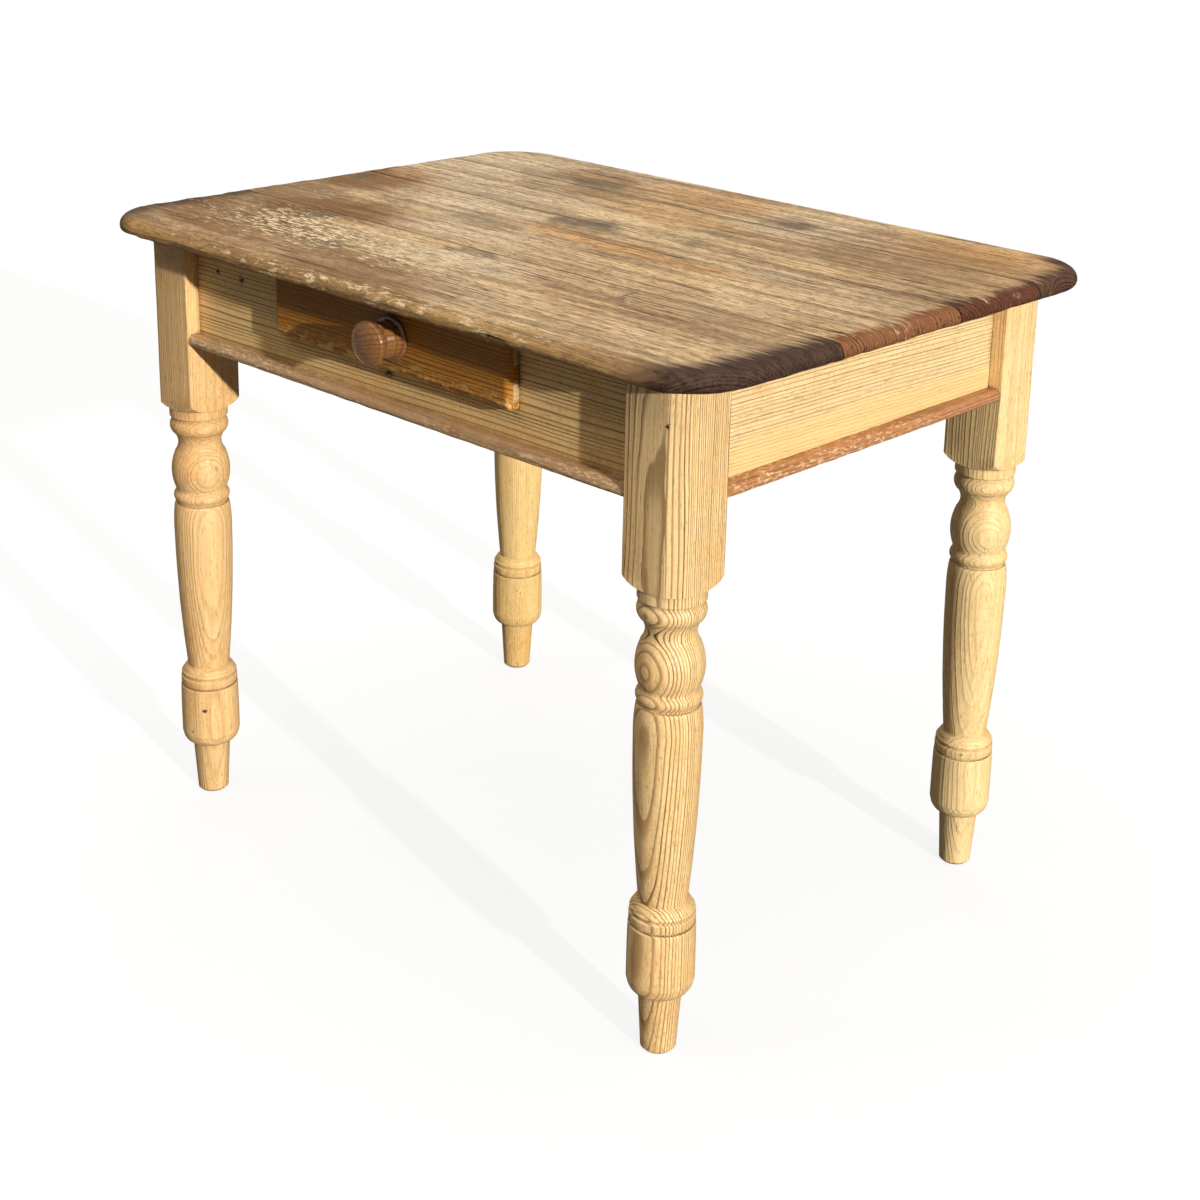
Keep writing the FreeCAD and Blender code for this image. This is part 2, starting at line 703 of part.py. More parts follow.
def knob():
    """A turned knob whose spigot is glued in the front. Its own Y runs out of the drawer."""
    place = (f"{DRAWER_PLACE[0]} + knob_offset", f"{DRAWER_PLACE[1]} + drawer_front_thickness",
             f"{DRAWER_PLACE[2]} + {FRONT_HEIGHT} / 2")
    body = new_body("drawer_knob", place, 180)
    seat = "drawer_front_thickness"
    base = seat + " + knob_base_height"
    ring = base + " + knob_neck_height"
    cup = ring + " + knob_ring_height"
    rim = cup + " + knob_cup_height"
    crown = rim + " + knob_rim_height"
    outline = [
        ("0", "0"),
        ("knob_spigot_radius", "0"),
        ("knob_spigot_radius", seat),
        ("knob_base_radius", seat),
        ("knob_base_radius", f"{base} - knob_base_chamfer"),
        ("knob_base_radius - knob_base_chamfer", base),
        ("knob_neck_foot_radius", base),
        ("knob_neck_radius", ring),
        ("knob_ring_radius - knob_ring_bevel", ring),
        ("knob_ring_radius", f"({ring} + {cup}) / 2"),
        ("knob_ring_radius - knob_ring_bevel", cup),
        ("knob_cup_radius", cup),
        ("knob_head_radius", rim),
        ("knob_head_radius", f"{crown} - knob_rim_bevel"),
        ("knob_dome_radius", crown, dome("knob_dome_radius", "knob_dome_height")),
        ("0", crown + " + knob_dome_height"),
    ]
    turned(body, draw(body, "knob_outline", "XY_Plane", [outline]), "PartDesign::Revolution")


# The table put together
leg("leg_front_left", -1, -1)
leg("leg_front_right", 1, -1, "front_right_chamfer")
leg("leg_back_right", 1, 1)
leg("leg_back_left", -1, 1)
front_apron()
back_apron()
apron("left")
apron("right")
for side_name in SIDES:
    nosing(side_name)

FIRST_SEAM = "(top_width * front_board_share - top_width / 2)"
SECOND_SEAM = f"({FIRST_SEAM} + top_width * second_board_share)"
THIRD_SEAM = f"({SECOND_SEAM} + top_width * third_board_share)"
board("top_board_front", "0", FIRST_SEAM, front=True)
board("top_board_second", FIRST_SEAM, SECOND_SEAM)
board("top_board_third", SECOND_SEAM, THIRD_SEAM)
board("top_board_back", THIRD_SEAM, "0", back=True)

LONG_END = f"({LONG_SPACING} / 2 - glue_block_end_distance)"
SHORT_END = f"({SHORT_SPACING} / 2 - glue_block_end_distance)"
LEG_INNER = f"({LONG_SPACING} / 2 - leg_square / 2)"
GUIDE_OUTER = f"({DRAWER_WIDTH} / 2 + guide_gap + guide_width)"
LEFT_OF_DRAWER = f"((drawer_offset - {GUIDE_OUTER} - {LEG_INNER}) / 2)"
RIGHT_OF_DRAWER = f"((drawer_offset + {GUIDE_OUTER} + {LEG_INNER}) / 2)"
for side_name, distances in (("front", (LEFT_OF_DRAWER, RIGHT_OF_DRAWER)),
                             ("back", (f"-{LONG_END}", "0", LONG_END)),
                             ("left", (f"-{SHORT_END}", SHORT_END)),
                             ("right", (f"-{SHORT_END}", SHORT_END))):
    for count, distance in enumerate(distances, start=1):
        glue_block(f"glue_block_{side_name}_{count}", side_name, distance)

drawer_carriage("left", -1)
drawer_carriage("right", 1)
drawer_front()
drawer_side("left", -1)
drawer_side("right", 1)
drawer_back()
drawer_bottom()
drawer_nails()
knob()

# Every object is sound before anything is written
doc.recompute()
for item in doc.Objects:
    if "Invalid" in item.State or "Error" in item.State:
        raise RuntimeError(f"{item.Name} failed: {item.State}")
for item in doc.Objects:
    if item.TypeId in ("PartDesign::Pocket", "PartDesign::Groove", "PartDesign::SubtractiveBox"):
        if item.Shape.Volume > item.BaseFeature.Shape.Volume - value("joint_clearance"):
            raise RuntimeError(f"{item.Name} cuts nothing")
os.makedirs("parts", exist_ok=True)
for piece in PIECES:
    shape = piece.Shape
    if shape.isNull() or not shape.isValid() or not shape.Solids:
        raise RuntimeError(f"{piece.Label} has no sound shape")
    shape.exportStep(f"parts/{piece.Label}.step")
print(len(PIECES), "pieces written")
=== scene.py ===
import math

import bmesh
import bpy
from mathutils import Matrix, Vector


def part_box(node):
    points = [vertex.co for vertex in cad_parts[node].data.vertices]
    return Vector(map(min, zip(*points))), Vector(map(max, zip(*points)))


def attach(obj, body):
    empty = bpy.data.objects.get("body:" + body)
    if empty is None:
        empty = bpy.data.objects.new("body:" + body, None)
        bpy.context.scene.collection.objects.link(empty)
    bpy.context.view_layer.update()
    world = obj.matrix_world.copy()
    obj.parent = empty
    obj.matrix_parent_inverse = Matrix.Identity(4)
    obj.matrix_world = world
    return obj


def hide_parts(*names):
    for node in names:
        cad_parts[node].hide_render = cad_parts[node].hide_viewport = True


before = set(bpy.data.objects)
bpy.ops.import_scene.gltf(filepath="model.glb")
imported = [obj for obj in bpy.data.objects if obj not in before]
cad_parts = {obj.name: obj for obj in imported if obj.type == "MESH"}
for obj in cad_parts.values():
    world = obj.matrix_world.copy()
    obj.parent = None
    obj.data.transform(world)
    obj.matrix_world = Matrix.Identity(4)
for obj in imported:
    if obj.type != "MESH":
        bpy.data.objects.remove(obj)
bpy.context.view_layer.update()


# Legs. Four square posts of pine, left square at the head for the aprons and turned between
# centres below it. Each has its outer corner planed off flat, the front right one widest, and
# each is cut from another part of a log, so its rings lie differently.

MM = 0.001
LEG_AXIS_X = 396 * MM
LEG_AXIS_Y = 272 * MM
LEG_SQUARE = 72 * MM
LEG_HEIGHT = 742 * MM
LEG_ARRIS = 1.4 * MM
LEG_BLOCK_FOOT = 520 * MM
LEG_ROUND_STEPS = 96
FOOT_WEAR = 0.05 * MM
BOW_STEP = 2 * MM


def begin(add_primitive, name, **place):
    """Add one primitive with nothing else selected, and go into edit mode on it."""
    if bpy.context.object and bpy.context.object.mode != "OBJECT":
        bpy.ops.object.mode_set(mode="OBJECT")
    bpy.ops.object.select_all(action="DESELECT")
    add_primitive(**place)
    piece = bpy.context.object
    piece.name = name
    piece.data.name = name
    bpy.ops.object.mode_set(mode="EDIT")
    return piece


def pick(piece, kind, test):
    """Select only the faces, edges or verts that pass a test, with the piece in edit mode."""
    bpy.ops.mesh.select_mode(type={"faces": "FACE", "edges": "EDGE", "verts": "VERT"}[kind])
    bpy.ops.mesh.select_all(action="DESELECT")
    mesh = bmesh.from_edit_mesh(piece.data)
    mesh.normal_update()
    for item in getattr(mesh, kind):
        item.select = test(item)
    mesh.select_flush_mode()
    bmesh.update_edit_mesh(piece.data)


def middle_of(edge):
    return (edge.verts[0].co + edge.verts[1].co) / 2


def runs_along(edge, axis):
    """Whether an edge lies along the axis x, y or z."""
    way = (edge.verts[1].co - edge.verts[0].co).normalized()
    return abs(getattr(way, axis)) > 0.99


def slice_along(axis, low, high, step):
    """Score the whole piece across the axis x, y or z at even steps, leaving it in one."""
    normal = Vector((axis == "x", axis == "y", axis == "z"))
    count = max(1, round((high - low) / step))
    for number in range(1, count):
        bpy.ops.mesh.select_all(action="SELECT")
        bpy.ops.mesh.bisect(plane_co=normal * (low + (high - low) * number / count),
                            plane_no=normal)


def apply_modifiers(piece):
    """Leave edit mode and make every modifier part of the mesh."""
    if piece.mode != "OBJECT":
        bpy.ops.object.mode_set(mode="OBJECT")
    bpy.ops.object.select_all(action="DESELECT")
    piece.select_set(True)
    bpy.context.view_layer.objects.active = piece
    for modifier in list(piece.modifiers):
        bpy.ops.object.modifier_apply(modifier=modifier.name)


def settle(piece, smooth_angle):
    """Move the piece's place into its mesh, merge what meets, drop any face that lies twice,
    turn the faces out and shade them smooth where they meet flatter than the angle."""
    apply_modifiers(piece)
    bpy.ops.object.transform_apply(location=True, rotation=True, scale=True)
    bpy.ops.object.mode_set(mode="EDIT")
    bpy.ops.mesh.select_all(action="SELECT")
    bpy.ops.mesh.remove_doubles(threshold=0.01 * MM)
    bpy.ops.object.mode_set(mode="OBJECT")
    piece.data.validate()
    bpy.ops.object.mode_set(mode="EDIT")
    bpy.ops.mesh.select_all(action="SELECT")
    bpy.ops.mesh.normals_make_consistent(inside=False)
    bpy.ops.object.mode_set(mode="OBJECT")
    bpy.ops.object.shade_smooth_by_angle(angle=math.radians(smooth_angle))


def worn(piece, name, grain, depth, group=None, level=0.5):
    """Let the surface wander in and out a little, as planed and handled wood does. The grain
    is the size of one dent, and a higher level keeps more of the wear inwards."""
    texture = bpy.data.textures.new(name, "CLOUDS")
    texture.noise_scale = grain
    texture.noise_depth = 2
    wear = piece.modifiers.new(name, "DISPLACE")
    wear.texture = texture
    wear.texture_coords = "LOCAL"
    wear.mid_level = level
    wear.strength = depth
    if group:
        wear.vertex_group = group
    return wear


def turn_up(stations):
    """Carry the selected disc up through (radius, height, bow) stations in millimetres. A bow
    swells the stretch below its station outwards, or draws it in when negative."""
    stations = [tuple(size * MM for size in station) for station in stations]
    radius, height = stations[0]
    for station in stations[1:]:
        bow = station[2] if len(station) > 2 else 0
        steps = 1 if bow == 0 else max(5, round(abs(station[1] - height) / BOW_STEP))
        start = Vector((radius, height))
        stretch = Vector(station[:2]) - start
        outwards = Vector((stretch.y, -stretch.x)).normalized()
        for step in range(1, steps + 1):
            share = step / steps
            point = start + stretch * share + outwards * bow * 4 * share * (1 - share)
            bpy.ops.mesh.extrude_region_move(
                TRANSFORM_OT_translate={"value": (0, 0, point.y - height)})
            grow = point.x / radius
            bpy.ops.transform.resize(value=(grow, grow, 1), center_override=(0, 0, 0))
            radius, height = point


# The leg's outline from the foot up, each place by its radius, its height and its bow.
LEG_TURNING = [
    (16.5, 0.0), (19.0, 2.5), (23.0, 67.2), (23.4, 68.6),
    (35.4, 83.4, 3.0), (36.0, 85.2), (35.6, 148.8, 0.2), (34.8, 150.0),
    (32.9, 150.6), (32.9, 152.0), (34.4, 152.6), (35.0, 153.6), (35.0, 161.4),
    (34.0, 162.6), (32.8, 163.4), (32.8, 164.6), (33.4, 165.2), (33.4, 169.4, 0.9),
    (32.0, 170.4), (27.2, 176.2, 1.0), (25.8, 177.6),
    (35.4, 361.0, 2.1), (33.6, 395.4, 0.8), (32.8, 397.0),
    (31.0, 397.6), (31.0, 399.2), (31.4, 400.2), (31.4, 413.6, 2.9),
    (31.0, 414.6), (31.0, 417.0), (31.0, 463.0, 4.6), (30.7, 464.2),
    (31.1, 489.6, -4.7), (32.6, 490.6), (32.6, 507.6, 2.8), (32.2, 508.5),
    (32.2, 510.3), (34.4, 510.9), (35.2, 511.8), (35.2, 522.6), (36.2, 523.2),
    (53.3, 540.0, 3.2), (53.3, 700.0),
]


def turned_leg(name, centre_x, centre_y, planed):
    """A square post and a round turning, as wide in its block as the post's corners. What the
    two have in common is the leg."""
    post = begin(bpy.ops.mesh.primitive_cube_add, name + "_post", size=1)
    bpy.ops.transform.resize(value=(LEG_SQUARE, LEG_SQUARE, LEG_HEIGHT))
    bpy.ops.transform.translate(value=(0, 0, LEG_HEIGHT / 2))
    outer_x = math.copysign(LEG_SQUARE / 2, centre_x)
    outer_y = math.copysign(LEG_SQUARE / 2, centre_y)

    def is_outer(edge):
        return (edge.verts[0].co.xy - Vector((outer_x, outer_y))).length < LEG_ARRIS

    pick(post, "edges", lambda edge: runs_along(edge, "z") and is_outer(edge))
    bpy.ops.mesh.bevel(offset=planed, segments=1, affect="EDGES")
    pick(post, "edges", lambda edge: runs_along(edge, "z"))
    bpy.ops.mesh.bevel(offset=LEG_ARRIS, segments=3, affect="EDGES")
    slice_along("z", LEG_BLOCK_FOOT, LEG_HEIGHT, step=12 * MM)
    bpy.ops.object.mode_set(mode="OBJECT")
    worn(post, name + "_handling", grain=0.035, depth=0.5 * MM)
    apply_modifiers(post)

    leg = begin(bpy.ops.mesh.primitive_circle_add, name + "_turned", vertices=LEG_ROUND_STEPS,
                radius=LEG_TURNING[0][0] * MM, fill_type="NGON")
    turn_up(LEG_TURNING)
    past_head = LEG_HEIGHT + 10 * MM - LEG_TURNING[-1][1] * MM
    bpy.ops.mesh.extrude_region_move(TRANSFORM_OT_translate={"value": (0, 0, past_head)})
    bpy.ops.mesh.select_all(action="SELECT")
    bpy.ops.mesh.normals_make_consistent(inside=False)
    bpy.ops.object.mode_set(mode="OBJECT")
    worn(leg, name + "_wander", grain=0.03, depth=0.35 * MM)
    shared = leg.modifiers.new("post", "BOOLEAN")
    shared.operation = "INTERSECT"
    shared.solver = "EXACT"
    shared.object = post
    apply_modifiers(leg)
    bpy.data.objects.remove(post)
    leg.location = (centre_x, centre_y, FOOT_WEAR)
    settle(leg, smooth_angle=32)
    return leg


def feed(tree, socket, given):
    """Give a socket either a value or another socket's output."""
    if isinstance(given, bpy.types.NodeSocket):
        tree.links.new(given, socket)
    else:
        socket.default_value = given


def add_node(tree, kind, sockets=None, **settings):
    """A shader node with its settings, and with what its sockets are given."""
    node = tree.nodes.new("ShaderNode" + kind)
    for name, setting in settings.items():
        setattr(node, name, setting)
    for name, given in (sockets or {}).items():
        feed(tree, node.inputs[name], given)
    return node


def maths(tree, operation, *values):
    """The output of one sum on up to three values."""
    return add_node(tree, "Math", dict(enumerate(values)), operation=operation).outputs[0]


def vector_maths(tree, operation, *values):
    """The output of one sum on places. It is a number for a length or a distance."""
    node = add_node(tree, "VectorMath", dict(enumerate(values)), operation=operation)
    return node.outputs["Value" if operation in ("LENGTH", "DISTANCE") else "Vector"]


def fade(tree, value, low, high, to_low=0.0, to_high=1.0):
    """Carry a value smoothly from one range to another, and no further."""
    node = add_node(tree, "MapRange",
                    {"Value": value, "From Min": low, "From Max": high,
                     "To Min": to_low, "To Max": to_high}, interpolation_type="SMOOTHSTEP")
    return node.outputs["Result"]


def blend_colour(tree, share, first, second):
    """Two colours mixed by a share, 0 for the first and 1 for the second."""
    node = add_node(tree, "Mix", data_type="RGBA")
    share_socket, first_socket, second_socket = node.inputs[0], node.inputs[6], node.inputs[7]
    feed(tree, share_socket, share)
    feed(tree, first_socket, (*first, 1) if isinstance(first, tuple) else first)
    feed(tree, second_socket, (*second, 1) if isinstance(second, tuple) else second)
    return node.outputs[2]


def cloud(tree, place, scale, stretch=(1, 1, 1), detail=2.0, roughness=0.5):
    """Soft noise, drawn out by a stretch, as a value around a half."""
    noise = add_node(tree, "TexNoise",
                     {"Vector": vector_maths(tree, "MULTIPLY", place, stretch), "Scale": scale,
                      "Detail": detail, "Roughness": roughness})
    return noise.outputs["Fac"]


def new_group(name, inputs, outputs):
    """An empty node group, whose inputs and outputs are given by their names and kinds."""
    kinds = {"value": "NodeSocketFloat", "colour": "NodeSocketColor", "vector": "NodeSocketVector"}
    group = bpy.data.node_groups.new(name, "ShaderNodeTree")
    for side, sockets in (("INPUT", inputs), ("OUTPUT", outputs)):
        for socket_name, kind in sockets.items():
            group.interface.new_socket(socket_name, in_out=side, socket_type=kinds[kind])
    given = group.nodes.new("NodeGroupInput").outputs
    result = group.nodes.new("NodeGroupOutput").inputs
    return group, given, result


def put_out(group, result, outputs):
    """Lead what a group has worked out to its outputs."""
    for name, value in outputs.items():
        group.links.new(value, result[name])


def pine_grain_group():
    """Growth rings round the log's pith, which runs along the place's Z through zero."""
    group, given, result = new_group(
        "Pine grain",
        {"Place": "vector", "Early wood": "colour", "Late wood": "colour",
         "Ring width": "value", "Wander": "value", "Contrast": "value", "Fleck": "value",
         "Late from": "value"},
        {"Colour": "colour", "Late": "value", "Height": "value"})
    place = given["Place"]

    # Years from the pith, swayed and rippled along the log.
    flat = vector_maths(group, "MULTIPLY", place, (1, 1, 0))
    distance = vector_maths(group, "LENGTH", flat)
    sway = cloud(group, place, 9, (1, 1, 0.28))
    ripple = cloud(group, place, 60, (1, 1, 0.12), detail=1.0)
    shift = maths(group, "MULTIPLY", maths(group, "SUBTRACT", sway, 0.5), given["Wander"])
    shift = maths(group, "MULTIPLY", shift, 4.0)
    fine = maths(group, "MULTIPLY", maths(group, "SUBTRACT", ripple, 0.5), 0.0016)
    radius = maths(group, "ADD", maths(group, "ADD", distance, shift), fine)
    years = maths(group, "DIVIDE", radius, given["Ring width"])
    season = add_node(group, "TexNoise", {"W": years, "Scale": 0.31, "Detail": 0.0},
                      noise_dimensions="1D")
    years = maths(group, "ADD", years, maths(group, "MULTIPLY", season.outputs["Fac"], 1.2))

    # Each year darkens into late wood and ends sharply, some years more than others.
    part = maths(group, "FRACT", years)
    year = add_node(group, "TexWhiteNoise", {"W": maths(group, "FLOOR", years)},
                    noise_dimensions="1D")
    rising = fade(group, part, given["Late from"], 0.88)
    falling = fade(group, part, 0.93, 1.0, 1.0, 0.0)
    strength = fade(group, year.outputs["Value"], 0.0, 1.0, 0.6, 1.0)
    late = maths(group, "MULTIPLY", maths(group, "MULTIPLY", rising, falling), strength)

    # Fine streaks, broad bands and short dark dashes, all along the grain.
    streak = cloud(group, place, 620, (1, 1, 0.018), roughness=0.6)
    broad = cloud(group, place, 130, (1, 1, 0.03))
    dashes = cloud(group, place, 900, (1, 1, 0.07), detail=1.0)
    tinted = blend_colour(group, maths(group, "MULTIPLY", late, given["Contrast"]),
                          given["Early wood"], given["Late wood"])
    shade = maths(group, "ADD", maths(group, "MULTIPLY", fade(group, streak, 0.3, 0.7), 0.16),
                  maths(group, "MULTIPLY", fade(group, broad, 0.3, 0.7), 0.12))
    shaded = add_node(group, "HueSaturation",
                      {"Color": tinted, "Value": maths(group, "ADD", 0.84, shade)})
    fleck = maths(group, "MULTIPLY", fade(group, dashes, 0.66, 0.74), given["Fleck"])
    flecked = blend_colour(group, fleck, shaded.outputs["Color"], given["Late wood"])
    height = maths(group, "SUBTRACT", maths(group, "MULTIPLY", late, 0.7),
                   maths(group, "ADD", maths(group, "MULTIPLY", streak, 0.35), fleck))
    put_out(group, result, {"Colour": flecked, "Late": late, "Height": height})
    return group


def wear_group():
    """Where handling has rubbed the edges, and a painted shade with some grime in the corners and
    recesses.
    """
    group, given, result = new_group(
        "Wear, grime and shade", {"Place": "vector", "Edge": "value", "Corner": "value"},
        {"Rubbed": "value", "Shade and grime": "value", "Dapple": "value", "Speckle": "value"})
    dapple = cloud(group, given["Place"], 38, detail=4.0, roughness=0.62)
    large = cloud(group, given["Place"], 7, detail=3.0, roughness=0.55)
    edge = add_node(group, "AmbientOcclusion", {"Distance": given["Edge"]},
                    inside=True, only_local=True, samples=6)
    # Painted shade: the corners and recesses that the occlusion finds are darkened, as shade falls
    # there, with some grime.
    corner = add_node(group, "AmbientOcclusion", {"Distance": given["Corner"]}, samples=6)
    rubbed = fade(group, edge.outputs["AO"], 0.35, 0.85, 1.0, 0.0)
    rubbed = maths(group, "MULTIPLY", rubbed, fade(group, dapple, 0.35, 0.65, 0.35, 1.0))
    shade_and_grime = fade(group, corner.outputs["AO"], 0.25, 0.95, 1.0, 0.0)
    shade_and_grime = maths(group, "MULTIPLY", shade_and_grime, fade(group, dapple, 0.3, 0.7, 0.55, 1.0))
    spots = maths(group, "ADD", maths(group, "MULTIPLY", dapple, 0.45),
                  maths(group, "MULTIPLY", large, 0.55))
    fine = cloud(group, given["Place"], 330, (1, 1, 0.6), detail=3.0, roughness=0.75)
    speckle = maths(group, "MULTIPLY", fade(group, fine, 0.46, 0.66),
                    fade(group, large, 0.35, 0.6, 0.3, 1))
    put_out(group, result, {"Rubbed": rubbed, "Shade and grime": shade_and_grime, "Dapple": spots, "Speckle": speckle})
    return group


def knot_group():
    """A dark mark with a ragged edge round one spot, for a knot, a hole or a burn."""
    group, given, result = new_group(
        "Knot", {"Place": "vector", "Centre": "vector", "Reach": "value"}, {"Mark": "value"})
    away = vector_maths(group, "DISTANCE", given["Place"], given["Centre"])
    ragged = maths(group, "SUBTRACT", cloud(group, given["Place"], 310, roughness=0.6), 0.5)
    share = maths(group, "ADD", maths(group, "DIVIDE", away, given["Reach"]),
                  maths(group, "MULTIPLY", ragged, 3.0))
    put_out(group, result, {"Mark": fade(group, share, 0.55, 1.15, 1.0, 0.0)})
    return group


PINE_GRAIN = pine_grain_group()
WEAR = wear_group()
KNOT = knot_group()
KNOT_COLOUR = (0.06, 0.03, 0.015)
GRAIN_TURN = {"x": (0, math.radians(90), 0), "y": (math.radians(90), 0, 0), "z": (0, 0, 0)}
RUB_REACH = 0.003
AGED = (0.84, 0.68, 0.50)
SPECKLED = (0.62, 0.42, 0.22)


def darker(colour, shares):
    """A colour with only a share left of its red, of its green and of its blue."""
    return tuple(share * tone for share, tone in zip(shares, colour))


def object_place(tree):
    """The point of the table that a finish is worked out for."""
    return add_node(tree, "TexCoord").outputs["Object"]


def new_finish(name):
    """A material, with its tree, its surface and its place."""
    material = bpy.data.materials.new(name)
    material.use_nodes = True
    tree = material.node_tree
    return material, tree, tree.nodes["Principled BSDF"], object_place(tree)


def lay_over(material, share, colour):
    """Lay one more colour over what a material has so far, by a share."""
    tree = material.node_tree
    skin = tree.nodes["Principled BSDF"].inputs["Base Color"]
    tree.links.new(blend_colour(tree, share, skin.links[0].from_socket, colour), skin)


def pine(name, grain, pith, early, late, ring_width=0.003, wander=0.004, contrast=0.8,
         fleck=0.3, late_from=0.5, speckle=0.0, shade_and_grime=(0.10, 0.055, 0.025), shade_and_grime_share=0.75,
         shade_and_grime_reach=0.012, rubbed=(0.86, 0.66, 0.40), rubbed_share=0.25, roughness=0.55,
         tilt=(0, 0, 0)):
    """Waxed pine whose grain runs along an axis. The pith is its distance from the origin,
    taken after that axis has been turned to Z. Late is the dark wood of each year's ring.
    Corners and recesses are darkened by a painted shade with some grime."""
    material, tree, surface, where = new_finish(name)
    tilted = add_node(tree, "Mapping",
                      {"Vector": where, "Rotation": tuple(math.radians(turn) for turn in tilt)})
    place = add_node(tree, "Mapping",
                     {"Vector": tilted.outputs[0], "Rotation": GRAIN_TURN[grain],
                      "Location": tuple(-distance for distance in pith)}).outputs[0]
    wood = add_node(tree, "Group",
                    {"Place": place, "Early wood": (*early, 1), "Late wood": (*late, 1),
                     "Ring width": ring_width, "Wander": wander, "Contrast": contrast,
                     "Fleck": fleck, "Late from": late_from}, node_tree=PINE_GRAIN, name="wood")
    wear = add_node(tree, "Group",
                    {"Place": where, "Edge": RUB_REACH, "Corner": shade_and_grime_reach}, node_tree=WEAR)
    dapple = wear.outputs["Dapple"]
    aged = blend_colour(tree, fade(tree, dapple, 0.42, 0.68, 0.0, 0.55),
                        wood.outputs["Colour"], darker(early, AGED))
    dotted = blend_colour(tree, maths(tree, "MULTIPLY", wear.outputs["Speckle"], speckle), aged,
                          darker(early, SPECKLED))
    light = blend_colour(tree, maths(tree, "MULTIPLY", wear.outputs["Rubbed"], rubbed_share),
                         dotted, rubbed)
    # Painted shade with some grime: the corners and recesses take the dark colour.
    shaded_and_grimed = blend_colour(tree, maths(tree, "MULTIPLY", wear.outputs["Shade and grime"], shade_and_grime_share),
                         light, shade_and_grime)
    tree.links.new(shaded_and_grimed, surface.inputs["Base Color"])
    gloss = maths(tree, "ADD", fade(tree, dapple, 0.3, 0.7, roughness - 0.08, roughness + 0.08),
                  maths(tree, "MULTIPLY", wood.outputs["Late"], -0.08))
    tree.links.new(gloss, surface.inputs["Roughness"])
    relief = add_node(tree, "Bump",
                      {"Height": wood.outputs["Height"], "Distance": 0.0011, "Strength": 0.7},
                      name="relief")
    tree.links.new(relief.outputs[0], surface.inputs["Normal"])
    return material


def knots(material, spots):
    """Darken a wood at some spots, each given by its place and its reach."""
    tree = material.node_tree
    where = object_place(tree)
    for *centre, reach in spots:
        mark = add_node(tree, "Group",
                        {"Place": where, "Centre": centre, "Reach": reach}, node_tree=KNOT)
        lay_over(material, mark.outputs["Mark"], KNOT_COLOUR)


def dress(piece, material):
    """Give a piece one material all over."""
    piece.data.materials.clear()
    piece.data.materials.append(material)


# For each leg: its side along X and along Y, how much of its corner is planed off, its pith's
# distance from its axis, the width of a ring, how bold the rings are and its early wood.
LEGS = {
    "leg_front_left": (-1, -1, 9 * MM, (-0.075, 0.030), 0.0026, 0.25, (0.92, 0.59, 0.26)),
    "leg_front_right": (1, -1, 15 * MM, (0.010, 0.078), 0.0028, 1.0, (0.98, 0.69, 0.33)),
    "leg_back_right": (1, 1, 9 * MM, (-0.060, 0.055), 0.0024, 0.15, (1.0, 0.73, 0.35)),
    "leg_back_left": (-1, 1, 9 * MM, (0.070, 0.040), 0.0026, 0.25, (0.96, 0.66, 0.27)),
}
LEG_LATE_WOOD = (0.19, 0.062, 0.010)
# Painted shade with some grime, laid in the grooves of the turnings and where the legs meet the
# aprons.
LEG_SHADE_AND_GRIME = (0.085, 0.036, 0.012)
LEG_KNOTS = {
    "leg_front_left": [(-0.371, -0.298, 0.124, 0.0025), (-0.3865, -0.3067, 0.092, 0.0018)],
    "leg_front_right": [(0.4155, -0.308, 0.698, 0.003)],
    "leg_back_right": [(0.414, 0.2408, 0.1595, 0.002)],
    "leg_back_left": [(-0.38, -0.24, 0.40, 0.003)],
}
for leg_name, (side_x, side_y, planed, pith, ring_width, contrast, early) in LEGS.items():
    axis_x = side_x * LEG_AXIS_X
    axis_y = side_y * LEG_AXIS_Y
    leg = turned_leg(leg_name, axis_x, axis_y, planed)
    leg_pine = pine(leg_name + "_pine", "z", (axis_x + pith[0], axis_y + pith[1], 0.1 * side_x),
                    early, LEG_LATE_WOOD, ring_width, wander=0.003, contrast=contrast,
                    fleck=0.55, speckle=0.5, shade_and_grime=LEG_SHADE_AND_GRIME, shade_and_grime_share=0.95, shade_and_grime_reach=0.006,
                    rubbed_share=0.4, roughness=0.5)
    knots(leg_pine, LEG_KNOTS[leg_name])
    dress(leg, leg_pine)
    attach(leg, "table")
    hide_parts(leg_name)


# Aprons. Four boards tenoned into the legs and left plain, the front one notched for the
# drawer. They are pale pine with straight, tight grain, a little darker on the drawer side.

# For each apron: its grain's axis, its pith, its early and late wood, the width of a ring and
# how bold the rings are.
APRONS = {
    "apron_front": ("x", (0.42, -0.29, 0.0), (0.99, 0.68, 0.29), (0.11, 0.042, 0.010), 0.0054, 1.0),
    "apron_back": ("x", (0.40, 0.29, 0.0), (0.78, 0.54, 0.27), (0.42, 0.22, 0.08), 0.0044, 0.7),
    "apron_left": ("y", (-0.41, -0.42, 0.0), (0.80, 0.56, 0.28), (0.46, 0.25, 0.10), 0.0040, 0.7),
    "apron_right": ("y", (0.41, -0.40, 0.0), (0.96, 0.71, 0.37), (0.40, 0.20, 0.055), 0.0042, 0.9),
}
APRON_KNOTS = [(-0.3186, -0.290, 0.7087, 0.004), (-0.2718, -0.290, 0.7067, 0.0050),
               (-0.0091, -0.290, 0.656, 0.008), (-0.070, -0.290, 0.6735, 0.005)]
HEARTWOOD = (0.95, 0.62, 0.26)
APRON_TILT = {"x": (0, 0.8, 0), "y": (1.2, 0, 0)}


def plain_foot(material):
    """Plain orange heartwood along the lower third of a board, with hardly a line in it."""
    tree = material.node_tree
    where = object_place(tree)
    height = add_node(tree, "SeparateXYZ", {0: where}).outputs["Z"]
    wavy = maths(tree, "ADD", height, maths(tree, "MULTIPLY", cloud(tree, where, 9), 0.05))
    lay_over(material, fade(tree, wavy, 0.668, 0.690, 0.75, 0.0), HEARTWOOD)


